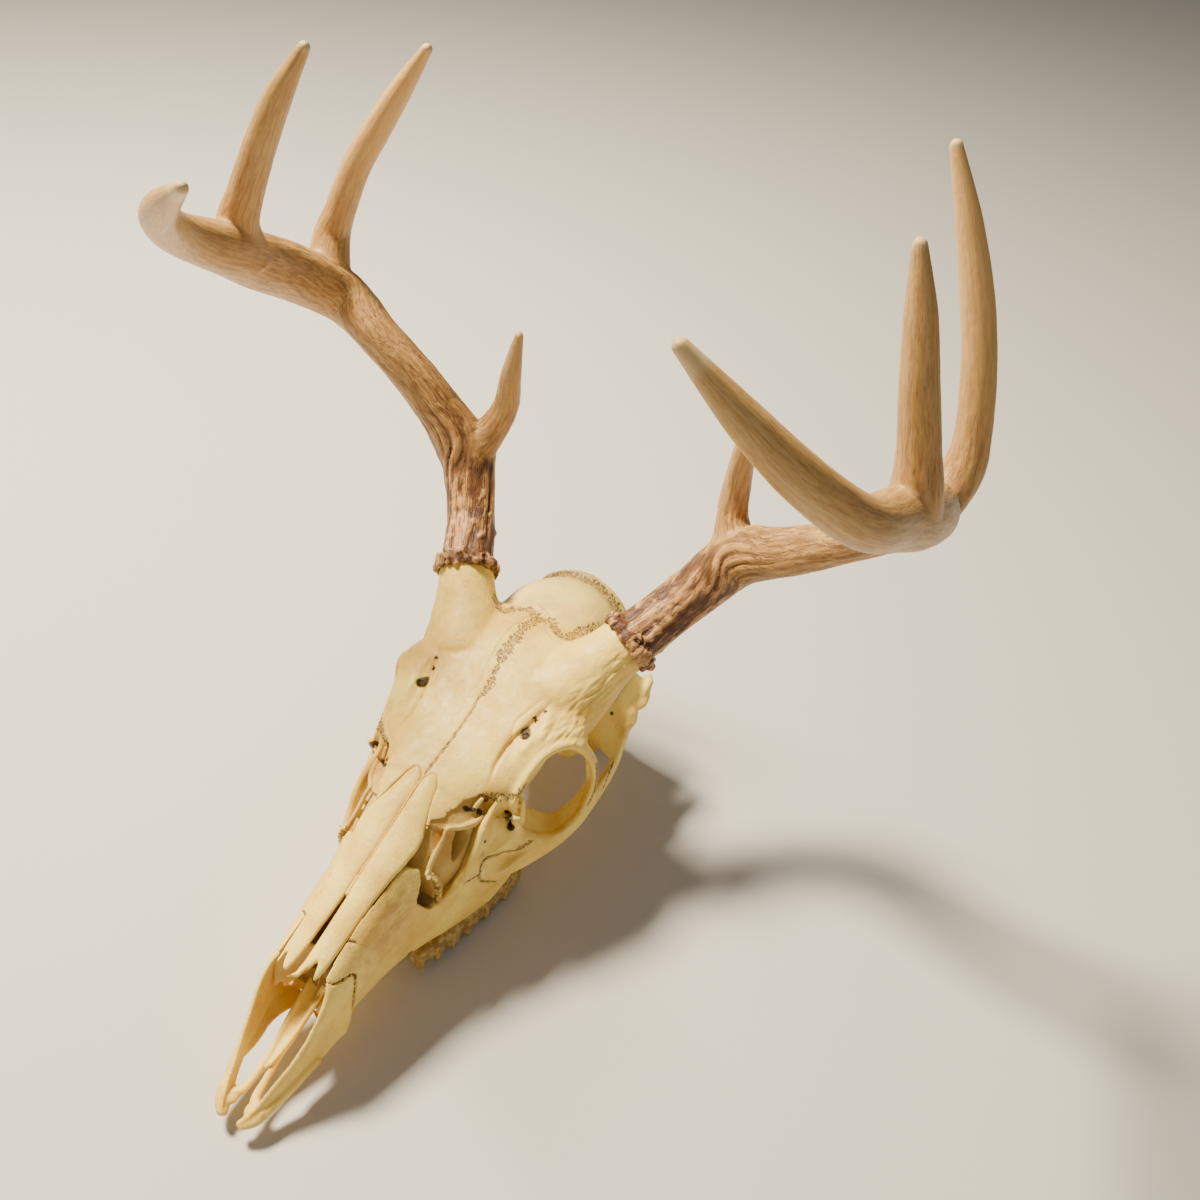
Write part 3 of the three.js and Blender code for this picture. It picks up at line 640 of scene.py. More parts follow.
# Thin plates seen through the opening before the orbit, each with its outline (forward, z).
UPPER_PLATE = [(168, 92), (138, 94), (138, 84), (147, 82.2), (152, 83.4), (156, 84.2), (159, 85.6),
               (163, 85.4)]
LOWER_PLATE = [(163, 87), (160, 88.4), (155, 87.5), (148, 87), (143, 84), (146, 80.5), (154, 74.5),
               (163, 60.5), (171, 54), (176, 53), (175.4, 60), (176.4, 68), (176, 73), (172, 78), (167, 83)]
LOWER_SLIT = [(151.5, 82), (154.8, 84.4), (157, 82.4), (161.4, 77.4), (164, 71.4), (164.4, 67.8),
              (160, 70.6), (154.6, 75.2), (151, 79)]
PLATE_HOLES = [([(16, 149.8, 87), (30, 147.8, 89.4)], 1.2), ([(20, 145.8, 83.6), (34, 143.8, 86)], 1.2)]


def plate(outline, depth, thickness, holes, name):
    """A thin plate that follows the face's wall at a depth under its surface, on the left."""
    def shell(inset):
        form = bmesh.new()
        loft(form, [(f, half - inset, widest, top - inset, bottom, upper, lower)
                    for f, half, widest, top, bottom, upper, lower in FACE], 56, 48)
        return body_of(form, name)

    wall = combine(shell(depth), shell(depth + thickness), "DIFFERENCE")
    form = bmesh.new()
    slab(form, outline, 11, 60)
    combine(wall, body_of(form, "region"), "INTERSECT")
    for hole in holes:
        form = bmesh.new()
        if isinstance(hole, tuple):
            path, radius = hole
            round_limb(form, line_of(path), [radius] * 2, 16, 6)
        else:
            slab(form, hole, 8, 60)
        combine(wall, body_of(form, "hole"), "DIFFERENCE")
    return wall


POROUS_EDGE = [(23.2, 178.4, 74.5), (25.4, 176, 69), (27, 175.4, 63), (27.4, 176.4, 57)]


def inner_plates(name):
    upper = plate(UPPER_PLATE, 1.2, 1.5, PLATE_HOLES, name)
    lower = plate(LOWER_PLATE, 3.0, 1.6, [LOWER_SLIT], "lower")
    form = bmesh.new()
    # The bright ledge between the two plates, and the short one above it.
    round_limb(form, line_of([(29.6, 145, 84), (28.2, 150.1, 83.4), (26.4, 154.6, 84.2),
                              (24.2, 158.1, 85.2), (21.4, 161.4, 86.2), (21.6, 165.8, 82.8),
                              (21.4, 170, 79.6), (21.6, 174.6, 76), (22.4, 178.4, 72)]),
               [(1.0, 1.4), (1.5, 1.6), (1.2, 1.6), (1, 1.3), (1.1, 1.3), (1, 1.5), (1.2, 1.6), (1.3, 1.5),
                (1.4, 1.4)], 14, 60)
    round_limb(form, line_of([(26.8, 142.4, 91.8), (25.8, 145.5, 89.4), (25.2, 148.3, 87.6)]),
               [1, 1.2, 0.9], 12, 16)
    round_limb(form, line_of([(22.6, 178, 73), (24.8, 175.4, 69.5), (26.4, 174.6, 65), (27.2, 175.2, 60),
                              (27.4, 176.8, 55)]), [1.2, 1.6, 1.5, 1.2, 1.0], 14, 30)
    crumbs = np.random.default_rng(5)
    for place in spline(line_of(POROUS_EDGE), crumbs.random(60)):
        ball(form, place + crumbs.uniform(-1.5, 1.5, 3), crumbs.uniform(0.5, 1.1, 3), fine=8)
    plates = join(upper, lower, body_of(form, "ledge"))
    return melt(plates, BONE_GRAIN, smooth=1)


def face_ridge(form):
    """The rolled edge of the lacrimal behind the opening, and the small spike at the orbit's front."""
    round_limb(form, line_of([(33.8, 136, 90.4), (31.8, 140, 86), (31.6, 145.4, 83), (31.9, 149.8, 80.2),
                              (32.5, 153.5, 76), (32.9, 157.7, 70.6), (32.5, 162, 64.4),
                              (31.3, 166.2, 59.9), (29.6, 171.4, 55.6), (27.2, 177, 51.6)]),
               [(1.4, 2.1), (1.6, 1.9), (1.8, 2), (2.2, 2), (2.1, 2), (2.3, 2), (2, 2.1), (2.3, 2.3),
                (1.9, 2.3), (1.7, 2)], 14, 80)
    round_limb(form, line_of([(35, 140, 79.6), (38, 138.6, 80.4), (40.6, 137, 81), (43.2, 135, 81.2)]),
               [1.9, 1.6, 1.3, 0.9], 12, 24)
    round_limb(form, line_of([(36, 134, 85), (38, 130.5, 82), (38.4, 127.6, 80.4)]), [1.5, 1.2, 0.9], 12, 16)


def orbit_lining(form):
    """The wall inside the rim, the flap under its top, and the sheets that close its front and floor."""
    rim, wall = (line_of(loop) for loop in (ORBIT_RIM, ORBIT_WALL))
    ribbon(form, rim + rim[:2], wall + wall[:2], 1.7, 24, 120)
    ribbon(form, line_of([(35.5, 130, 89), (37.5, 121, 96), (40, 110.5, 101), (43, 104, 102.5)]),
           line_of([(33, 123.6, 80), (33, 114, 75.5), (33.6, 105, 77), (37, 103, 92)]), 1.6, 20, 30)
    round_limb(form, line_of([(41, 129, 74), (33, 125, 74), (25, 120, 72)]),
               [(1.6, 12), (1.5, 13), (1.5, 12)], 24, 24)


def carve(body, form):
    combine(body, body_of(form, "room"), "DIFFERENCE")


def skull_shell():
    """The skull with its openings, ready for sculpting."""
    skull = core()
    eye = bmesh.new()
    rim = np.array(line_of(ORBIT_RIM + ORBIT_RIM[:1]))
    middle = rim[:-1].mean(axis=0)
    ring = middle + 0.925 * (spline(rim, np.arange(72) / 72) - middle)
    shaft(eye, ring - ORBIT_AXIS * 8, ORBIT_AXIS * 42, 0.82)
    mirrored(eye)
    carve(skull, eye)
    hollows = bmesh.new()
    nose_hollow(hollows)
    carve(skull, hollows)
    naris = bmesh.new()
    slab(naris, [*PREMAXILLA_SUTURE, (262, 8), (262, 90), (238, 90)], -60, 60)
    carve(skull, naris)
    roof = bmesh.new()
    slab(roof, [(10.4, 206), (10.8, 218), (11, 226), (11.6, 231), (15, 262), (-15, 262), (-12.4, 231),
                (-11.8, 226), (-11.2, 218), (-10.6, 206)], 42, 100, view="top")
    carve(skull, roof)
    palate = bmesh.new()
    loft(palate, [(104, 12, 8, 20, -20, 1, 1), (122, 20, 8, 24, -20, 1, 1), (150, 18, 8, 23, -20, 1, 1),
                  (180, 12, 9, 20, -20, 1, 1), (206, 8, 12, 22, -20, 1, 1)], 32, 32)
    carve(skull, palate)
    opening = bmesh.new()
    slab(opening, FACE_OPENING, 11.5, 60)
    mirrored(opening)
    carve(skull, opening)
    for outline, side in ((LEFT_NASAL, 1), (RIGHT_NASAL, -1)):
        bed = bmesh.new()
        nasal_bed(bed, outline, side)
        carve(skull, bed)
    additions = bmesh.new()
    face_ridge(additions)
    orbit_lining(additions)
    mirrored(additions)
    join(skull, body_of(additions, "additions"))
    return melt(skull, BONE_GRAIN, smooth=2)


# Each side's small holes: the line that each follows (x, forward, z) and its radius.
CANALS = [
    ([(29.8, 116, 113), (29, 111.4, 107.4), (27.4, 104, 103)], 2.3),
    ([(30.4, 104, 114), (28.5, 102.7, 110)], 0.9), ([(31.6, 98.6, 115), (30.6, 96.5, 110)], 0.8),
    ([(39, 138.6, 82), (36, 133.5, 78.6), (32, 127, 74)], 1.8),
    ([(41, 139, 74.5), (38, 134, 71), (33, 127, 66)], 1.7), ([(48, 53, 82), (42, 47, 72)], 0.9),
    ([(36, 150, 73.2), (32, 149, 72.6)], 0.8), ([(27, 197, 26), (20, 189, 29)], 1.5),
    ([(40, 38, 60), (33, 40, 60)], 0.9),
]


def magnum_and_canals(form):
    """Holes that are drilled: the foramen magnum, and each side's foramina."""
    round_limb(form, line_of([(0, -6, 52), (0, 8, 52), (0, 15, 54)]), [9.5, 9.5, 7.5], 32, 16)
    half = bmesh.new()
    for path, radius in CANALS:
        round_limb(half, line_of(path), [radius] * len(path), 14, 10)
    mirrored(half)
    take_in(form, half)


def drilled(points, holes):
    """1 on the walls of the small holes, falling to 0 at their mouths, where the walls are painted in shade.
    """
    dark = np.zeros(len(points))
    for path, radius in holes:
        gap = reach_of(folded(points), line_of(path))[0]
        dark = np.maximum(dark, np.clip((1.22 - gap / radius) / 0.15, 0, 1))
    return dark


# --- Parting the skull into its bones ---

# Each bone's region, cut away in this order, and what is left over makes the frontals. Corners are
# (forward, z) seen from the side or (x, forward) from above; the two numbers are where it starts and
# ends across that view. A bone with sides is cut from both, its region being the left one.
CORONAL = [(0.1, 51), (5, 49.8), (9, 53.5), (12.9, 57), (17, 57.5), (18.6, 52), (19.2, 44), (21.6, 37.5),
           (25.3, 30.6), (31, 25), (35, 23), (60, 20), (60, -20), (-60, -20), (-60, 20), (-35, 23),
           (-32, 27), (-28, 36), (-27.4, 42), (-26, 50), (-22, 56.4), (-17, 57.4), (-13.7, 52),
           (-8.7, 48.6), (-4.1, 50.2)]
INTERFRONTAL = [(0, -20), (0.1, 51), (-1.2, 60), (-2.4, 70), (-1.6, 80), (-0.8, 88.6), (0.4, 95),
                (1.5, 101.3), (0.4, 107.5), (1.2, 112.8), (1.4, 117.4), (1.2, 130.3), (0.7, 139.9),
                (0.4, 149.5), (0, 190)]
ZYGOMATIC_TOP = [(135.6, 57.2), (144.4, 61), (150.6, 62.1), (154.1, 59.7), (155, 55.9)]
BONE_REGIONS = [
    ("occipital", "side", [(-20, 140), (6.8, 140), (7.2, 111), (9, 102), (13, 92), (16, 80), (18, 66),
                           (22, 56), (27, 46), (27, -20), (-20, -20)], -80, 80, False),
    ("sphenoid", "top", [(12, 20), (12, 56), (24, 60), (24, 112), (-24, 112), (-24, 60), (-12, 56),
                         (-12, 20)],
     -20, 58, False),
    ("parietal", "top", CORONAL, 86, 140, False),
    ("zygomatic", "side", [(64, 30), (66, 58), (76, 61), (84, 66), (88, 78), (104, 78), (110, 61),
                           (128.5, 61),
                           (133, 58.4), *ZYGOMATIC_TOP, (154.6, 50.6), (149.3, 45.3), (143, 43), (134, 42),
                           (120, 38), (90, 30)], 30, 80, True),
    ("temporal", "side", [(-30, -20), (89, -20), (89, 78), (80, 84), (70, 94), (63, 96.5), (48, 93.5),
                          (32, 88.5), (20, 84.5), (10, 82), (-30, 80)], 0, 80, True),
    ("lacrimal", "side", [(110, 61), (112, 86), (126, 92.6), (133, 90.4), (139.6, 91), (142, 91.4),
                          (156, 86),
                          (168, 66), (170, 57), (165.6, 55.6), (158.9, 55.5), *reversed(ZYGOMATIC_TOP),
                          (133, 58.4), (128.5, 61)], 20, 80, True),
    ("maxilla", "side", [(112, -20), (112, 60), (125, 64), (150, 75), (168, 84), (172, 88), (173, 120),
                         (300, 120), (300, -20)], 0, 80, True),
]


def bones_of(skull):
    """Parts the skull and gives each bone by its name."""
    bones = {}

    def cut_away(name, outline, low, high, view):
        form = bmesh.new()
        slab(form, outline, low, high, view=view)
        region = body_of(form, "region")
        bones[name] = combine(copy_of(skull, name), region, "INTERSECT", keep_tool=True)
        combine(skull, region, "DIFFERENCE")

    for name, view, outline, low, high, sided in BONE_REGIONS:
        if sided:
            cut_away(f"{name}_left", outline, low, high, view)
            cut_away(f"{name}_right", outline, -high, -low, view)
        else:
            cut_away(name, outline, low, high, view)
    cut_away("frontal_left", [*INTERFRONTAL, (90, 190), (90, -20)], 0, 200, "top")
    bones["frontal_right"] = skull
    skull.name = "frontal_right"
    return bones


# --- Sculpting the bone ---

# Sutures on the skull: points (x, forward, z), the way each faces, how far it wanders either side and
# the length of a wave, in mm. The paired ones are for the left side.
MIDDLE_SUTURES = {
    "interfrontal_back": ([(0.1, 51, 120), (-1.2, 60, 121.6), (-2.4, 70, 121.8), (-1.6, 80, 120.4),
                           (-0.8, 88.6, 117.7)], UP, 2.9, 3.3),
    "interfrontal_middle": ([(-0.8, 88.6, 117.7), (0.4, 95, 115.5), (1.5, 101.3, 113.1), (0.4, 107.5, 110.8)],
                            UP, 1.5, 2.8),
    "interfrontal_front": ([(0.4, 107.5, 110.8), (1.2, 112.8, 109.1), (1.4, 117.4, 107.8),
                            (1.2, 124.9, 105.3), (1.2, 130.3, 103.4), (0.7, 139.9, 100.7),
                            (0.4, 149.5, 98.2)], UP, 0.3, 4.4),
    "coronal_left": ([(0.1, 51, 120), (5.0, 49.8, 119.1), (9, 53.5, 120), (12.9, 57, 120.7),
                      (17, 57.5, 120.5), (18.6, 52, 118.4), (19.2, 44, 116), (21.6, 37.5, 115),
                      (25.3, 30.6, 112), (31, 25, 104), (35, 23, 92)], UP, 2.3, 3.1),
    "coronal_right": ([(0.1, 51, 120), (-4.1, 50.2, 119.6), (-8.7, 48.6, 118.4), (-13.7, 52, 119.3),
                       (-17, 57.4, 120.7), (-22, 56.4, 120), (-26, 50, 118.8), (-27.4, 42, 117.6),
                       (-28, 36, 115.5), (-32, 27, 106), (-35, 23, 92)], UP, 2.7, 3.3),
    "lambdoid": ([(-31, 13, 92), (-26, 9, 102), (-18.9, 7.5, 106.4), (-8.6, 6.4, 110.6), (2.2, 7.4, 111.6),
                  (11.2, 6.6, 109.9), (17.9, 7, 106.6), (26, 9, 102), (31, 13, 92)], (0, 0.5, 1), 1.6, 2.8),
}
SIDE_SUTURES = {
    "lacrimal_zygomatic": ([(44, 128.5, 60), (41, 133, 58.4), (39.6, 135.6, 57.2)], (1, -0.3, 0.4), 1.4,
                           2.0),
    "maxilla_zygomatic": ([(39.6, 135.6, 57.2), (38.5, 144.4, 61.0), (36.3, 150.6, 62.1),
                           (35.4, 154.1, 59.7), (35.4, 155.0, 55.9), (33.9, 158.9, 55.5), (31, 165.6, 55.6)],
                          (1, -0.2, 0.2), 0.3, 3.5),
    "zygomatic_lower": ([(35.4, 155.0, 55.9), (35.8, 154.6, 50.6), (37.7, 149.3, 45.3), (40.6, 143.0, 43.0),
                         (44, 134, 42)], (1, -0.2, 0), 0.3, 4),
    "lacrimal_frontal": ([(26.4, 143.6, 92.6), (29.6, 139.6, 91), (33.2, 135.4, 90), (37.6, 130.4, 89.4),
                          (39.4, 125, 94)], (0.7, -0.5, 0.7), 1.7, 2.5),
    "premaxilla_maxilla": ([(15.1, 234.1, 56.2), (16.8, 230.7, 55.4), (17.6, 227, 55.1),
                            (18.7, 224.7, 53.3), (19.4, 225.3, 49.7), (20, 227.4, 40), (20, 228.6, 33)],
                           (1, -0.1, 0.2), 0.4, 4),
    "snout_crack": ([(10.7, 220, 66.4), (12.4, 219, 65.8), (14.2, 217.8, 64.8)], (0.4, 0, 1), 0.15, 4),
    "squamosal": ([(30, 63, 96), (34, 48, 93), (35.6, 32, 88), (34, 20, 84), (31, 13, 82)], (1, 0, 0.2), 0.8,
                  4),
    "postorbital": ([(58, 92, 88), (59, 91.6, 80), (60, 92.4, 74), (60, 93.6, 68), (59.2, 97, 62)],
                    (1, -0.6, 0.3), 0.8, 1.7),
    "arch": ([(60, 62, 66), (60.6, 72, 61), (60.6, 82, 57)], (1, 0, 0), 0.5, 3.6),
}
SEAM_REACH = 5.5


def along_line(flat, line):
    """Distance from flat points to a flat line, signed by the side, and the length along the line."""
    best, place, before = np.full(len(flat), 99.0), np.zeros(len(flat)), 0.0
    for start, end in zip(line[:-1], line[1:]):
        run = end - start
        length = np.linalg.norm(run)
        offset = flat - start
        share = np.clip(offset @ run / length**2, 0, 1)
        gap = np.linalg.norm(offset - share[:, None] * run, axis=1)
        side = np.where(run[0] * offset[:, 1] - run[1] * offset[:, 0] > 0, 1.0, -1.0)
        closer = gap < np.abs(best)
        best[closer] = (gap * side)[closer]
        place[closer] = before + (share * length)[closer]
        before += length
    return best, place, before


def flat_axes(facing):
    facing = np.array(facing, float) / np.linalg.norm(facing)
    first = np.cross(facing, (0.0, 1.0, 0.0) if abs(facing[1]) < 0.9 else (1.0, 0.0, 0.0))
    first /= np.linalg.norm(first)
    return np.column_stack([first, np.cross(facing, first)])


def all_sutures():
    """Each suture's path, the way it faces, its sway and its wave, on both sides."""
    sutures = [(line_of(points), np.array(facing, float), sway, wave)
               for points, facing, sway, wave in MIDDLE_SUTURES.values()]
    turned = np.array((-1, 1, 1))
    for points, facing, sway, wave in SIDE_SUTURES.values():
        path = line_of(points)
        sutures.append((path, np.array(facing, float), sway, wave))
        sutures.append(([p * turned for p in path], np.array(facing, float) * turned, sway, wave))
    return sutures


def seams(body):
    """Keeps each vertex's place on its nearest suture: mm along and across it, how far that suture
    wanders there, its wave's length, and 1 where one is within reach."""
    points, facing_out = spots(body), directions(body)
    kept = {name: np.zeros(len(points)) for name in ("along", "across", "sway", "wave", "sutured")}
    kept["across"] += SEAM_REACH
    kept["wave"] += 1
    for number, (path, facing, sway, wave) in enumerate(all_sutures()):
        line = spline(path, np.linspace(0, 1, 6 * len(path)))
        facing = facing / np.linalg.norm(facing)
        some = near(points, line, SEAM_REACH)
        some = some[facing_out[some] @ facing > 0.1]
        if not len(some):
            continue
        axes = flat_axes(facing)
        gap, place, length = along_line(points[some] @ axes, line @ axes)
        closer = np.abs(gap) < np.abs(kept["across"][some])
        some, gap, place = some[closer], gap[closer], place[closer]
        kept["across"][some] = gap
        kept["along"][some] = place + 60 * number
        kept["sway"][some] = sway * np.clip(np.minimum(place, length - place) / (0.8 * wave), 0, 1)
        kept["wave"][some] = wave
        kept["sutured"][some] = 1
    for name, values in kept.items():
        keep(body, name, values)
    return kept


# Grooves and ridges: points (x, forward, z), width and depth in mm. A ridge has a negative depth.
CREASES = [
    ([(31, 94, 113.4), (28.6, 105.9, 110.5), (27, 111.3, 109), (25.4, 117.4, 107), (24.9, 128.7, 101.3),
      (26.4, 136, 97)], 1.0, 1.5),
    ([(31, 96, 113.4), (29.8, 105.9, 110.5), (29, 112.3, 109), (27.8, 118.4, 107), (26.9, 128.7, 101.3)],
     3.2, 1.6),
    ([(33.4, 108, 110), (33, 114, 108), (31.4, 121, 104)], 2.6, -1.1),
    ([(27.5, 92.2, 114.6), (24.6, 101, 112.3), (22.6, 109.8, 109.8), (26.9, 121.2, 105.1)], 0.8, 0.5),
    ([(30.5, 80, 119.5), (31, 85, 117.4), (32.1, 90.5, 114.4)], 1.3, -0.9),
    ([(33.5, 96, 112.6), (35.2, 104, 110), (36.4, 112, 107.6)], 2.0, -0.8),
    ([(52, 124, 55), (46, 134, 54.6), (42, 141, 51.4), (38.8, 146.7, 44.6), (33, 160, 38)], 2.2, -1.2),
    ([(36.4, 139.5, 82), (37, 143, 76), (37.4, 145, 70.5), (36.6, 150, 66), (35, 156, 62)], 4.2, 2.8),
    ([(40, 137, 68.5), (39.4, 141, 65), (38.4, 146, 63.4)], 1.4, -0.8),
    ([(50, 118, 55.4), (45, 131, 57), (42.4, 134.6, 60)], 1.0, 0.7),
    ([(50, 119, 57), (45, 130, 60)], 0.9, -0.6),
    ([(48, 121, 59), (43.6, 130.6, 63)], 0.8, 0.6),
    ([(44, 136, 53), (40, 146, 50), (36.4, 154, 47.4)], 1.5, -0.9),
    ([(27, 176, 47), (24.4, 190, 44), (22.6, 204, 44)], 4.0, 0.8),
    ([(24, 20, 110), (30, 34, 108), (33, 48, 108.6), (37, 60, 111)], 1.8, -0.7),
    ([(22, 190, 66), (20, 205, 60), (19.4, 218, 54)], 3.5, 0.6),
    ([(52, 97, 100), (46, 84, 108), (46, 70, 116)], 3.0, -0.8),
    ([(20, 100, 44), (27, 80, 40), (30, 60, 38)], 2.0, -0.6),
]


def rough_near_pedicle(points):
    """Stringy ridges that run from the orbit's back corner up to each burr."""
    run = np.array(at(52, 62, 125) - at(41, 102, 108))
    run /= np.linalg.norm(run)
    ridge = line_of([(41, 103, 108), (45, 84, 112), (47, 70, 117.5), (50, 60, 125)])
    height = np.zeros(len(points))
    for side in (1, -1):
        turned = points * np.array((side, 1, 1))
        gap, place = reach_of(turned, ridge)
        weight = np.exp(-((gap / 9) ** 2)) * (0.6 + 0.4 * place)
        along = turned @ run
        stretched = turned - np.outer(along, run) * 0.8
        height += weight * (np.abs(noise(stretched, 2.2, 5)) - 0.33) * 1.15
        height += weight * 0.5 * noise(stretched, 1.2, 6)
    return height


def sculpt(body, sutured=True):
    """Raises and sinks the bone's own relief, and keeps what its finish needs to know."""
    points = spots(body)
    turned = points * np.array((-1, 1, 1))
    height = 0.26 * layered(points, 16, 2, 1) + 0.1 * layered(points, 4.5, 2, 2)
    for path, width, depth in CREASES:
        line = line_of(path)
        height += groove(points, line, width, depth) + groove(turned, line, width, depth)
    height += rough_near_pedicle(points)
    snout_side = reach_of(folded(points), line_of([(18, 184, 72), (22, 192, 64), (22, 204, 58)]))[0]
    ripple = np.abs(noise(points * np.array((1, 0.4, 1)), 1.8, 8)) - 0.3
    height += 0.45 * np.exp(-((snout_side / 11) ** 2)) * ripple
    ragged = reach_of(folded(points), line_of(TEMPORAL_EDGE[2:]))[0]
    height += 2.2 * np.exp(-((ragged / 4) ** 2)) * noise(points, 4.2, 9)
    if sutured:
        suture = seams(body)
        fine = np.clip(1.2 - suture["sway"], 0, 1)
        height -= 0.45 * fine * np.exp(-((suture["across"] / 0.6) ** 2))
        coarse = suture["across"] / (0.6 + suture["sway"])
        height -= 0.25 * (suture["sutured"] - fine) * np.exp(-(coarse ** 2))
    raised(body, height)
    return body


def keep(body, name, values):
    """Stores one value for each vertex."""
    layer = body.data.attributes.get(name) or body.data.attributes.new(name, "FLOAT", "POINT")
    layer.data.foreach_set("value", np.asarray(values, np.float32))


def hollowness(body, iterations=12):
    """How deep each vertex lies in a hollow (above 0) or stands out on an edge (below 0), in mm."""
    twin = soften(copy_of(body, "twin"), iterations)
    depth = np.sum((spots(twin) - spots(body)) * directions(body), axis=1)
    drop(twin)
    return depth


# --- Teeth ---

TOOTH_ROW = {"front": 186, "back": 116, "front_x": 17.5, "back_x": 32, "bow": 0.6, "width": 9.6}
TOOTH_LENGTHS = [9, 10.5, 10, 12.5, 14, 13.5]  # the second premolar to the third molar
PREMOLAR_LIFT = 4.5


def tooth_places():
    total = sum(TOOTH_LENGTHS)
    before = 0
    for number, length in enumerate(TOOTH_LENGTHS):
        share = (before + length / 2) / total
        forward = TOOTH_ROW["front"] + (TOOTH_ROW["back"] - TOOTH_ROW["front"]) * share
        x = TOOTH_ROW["front_x"] + (TOOTH_ROW["back_x"] - TOOTH_ROW["front_x"]) * share ** TOOTH_ROW["bow"]
        yield number, x, forward, PREMOLAR_LIFT * max(0, 1 - share / 0.4), length
        before += length


def tooth_row(side, name):
    """Six crescent-crested cheek teeth: premolars of one lobe and molars of two."""
    form, pits = bmesh.new(), bmesh.new()
    for number, x, forward, lift, length in tooth_places():
        lobes = (0,) if number < 3 else (-length / 4, length / 4)
        reach = length * (0.46 if number < 3 else 0.25)
        wide = TOOTH_ROW["width"] * (0.42 if number else 0.36)
        for shift in lobes:
            f = forward + shift
            round_limb(form, line_of([(x - 0.4, f, 17), (x - 0.8, f, 8), (x - 1.2, f, lift + 1.1)]),
                       [(reach * 1.02, wide * 0.9), (reach, wide * 0.86), (reach * 0.72, wide * 0.62)],
                       20, 16, up=(1, 0, 0), close=0.35)
            round_limb(form, line_of([(x + 1.9, f, 17), (x + 2.1, f, 8), (x + 2.3, f, lift + 1.3)]),
                       [(reach * 1.06, 2.5), (reach * 1.02, 2.5), (reach * 0.9, 2.0)],
                       20, 16, up=(1, 0, 0), close=0.4)
            round_limb(pits, line_of([(x + 1.6, f + reach * 0.62, lift + 0.7), (x - 1.1, f, lift + 0.9),
                                      (x + 1.6, f - reach * 0.62, lift + 0.7)]),
                       [(0.3, 1.0), (0.75, 1.5), (0.3, 1.0)], 10, 14)
        for rib in ((-0.5, 0, 0.5) if number > 2 else (-0.46, 0.46)):
            f = forward + rib * length * 0.94
            round_limb(form, line_of([(x + 3.8, f, 16), (x + 4.1, f, 8), (x + 3.6, f, lift + 2.2)]),
                       [1.3, 1.3, 1.1], 10, 12, up=(1, 0, 0))
    row = melt(body_of(form, name), 0.42, smooth=1)
    combine(row, body_of(pits, "pits"), "DIFFERENCE")
    if side < 0:
        flip(row)
    return row


# --- Antlers ---

BEAM = {
    1: [(47, 48.9, 127.6), (61.8, 22.6, 144.1), (78.4, 8.3, 167.8), (107, 17, 192.5), (131.5, 19.9, 213.1),
        (153.8, 18.3, 232.9), (157.6, 40, 250.6), (156.5, 70, 266.4), (151.6, 90.7, 275.6),
        (145.7, 119.6, 289.7), (129.4, 140.1, 309.8), (112.4, 150, 326.8), (89.7, 158.9, 349)],
    -1: [(47, 48.9, 127.6), (61.1, 24.3, 142.5), (76.4, 10.2, 166.6), (100.8, 13, 196.7),
         (124.9, 15.4, 216.5), (147.8, 14.5, 230), (157.3, 36.5, 246.7), (153.8, 66.5, 265.3),
         (150.2, 84.4, 276.9), (146, 112.4, 293.7), (131.1, 134.4, 311.8), (113.5, 146.9, 325.4),
         (89, 159.9, 342)],
}
BEAM_GIRTHS = {
    1: [13.2, 12.4, 13.8, 11, 9.6, (10.7, 12), (10.8, 12.2), (11, 13), (10.6, 11.6), 9.1, 8, 6.5, 2.6],
    -1: [13.2, 12.4, 13.6, 11, 10.6, (12.2, 13.4), (12, 13.6), (11, 13), (10.6, 11.6), 8.9, 7.4, 5.7, 2.4],
}
TINES = {
    "brow": ({1: [(70, 9.5, 156), (74, 6, 169), (68.5, -2, 184), (66.9, -4.2, 198), (67.1, -2.4, 219),
                  (67.8, -1.5, 243.3)],
              -1: [(67, 11, 154), (70.5, 7, 168), (64.5, 0, 181), (60.1, -2, 193), (56.9, 0, 213.1),
                   (53.2, 0.5, 237)]},
             [9.5, 10.3, 7.6, 6.6, 5.3, 2.1]),
    "back": ({1: [(155.5, 22.5, 240), (160.7, 12.3, 255.7), (159.4, 8.1, 270.2), (152, 3.9, 296.7),
                  (143.1, 1, 319.1), (130.7, -1.7, 344.5), (116.9, -3.8, 369.6)],
              -1: [(155, 16, 240), (158.6, 7, 257), (154.4, 5.7, 269), (145.9, 3.1, 291.1),
                   (135.6, 1.1, 309.5), (122.5, -0.7, 330.5), (108.6, -2.2, 351.2)]},
             [11, 8.8, 7.4, 6.8, 6.4, 5.1, 2.4]),
    "front": ({1: [(155, 76.6, 268), (154, 80.1, 284), (150.2, 79.1, 297.5), (143, 77.2, 319.8),
                   (136.7, 75, 339.7), (128.9, 72.6, 361.7)],
               -1: [(152.4, 72.2, 268), (151.2, 75.8, 285), (146.4, 74.8, 299), (138, 72, 321),
                    (129.6, 69, 340.4), (117.4, 64.6, 362)]},
              [11.4, 9.2, 7.6, 6.7, 5.6, 2.4]),
}
ANTLER_PARTS = ["beam_base", "beam_middle", "beam_upper", "beam_tip", "brow_tine", "back_tine", "front_tine"]
BURR_RADIUS = 14.2
# How many beads each row has, and its height and spread.
BURR_ROWS = [(36, 0.0, 0.2), (38, 2.0, 1.0), (34, 4.2, 0.5), (26, 6.4, -1.0)]


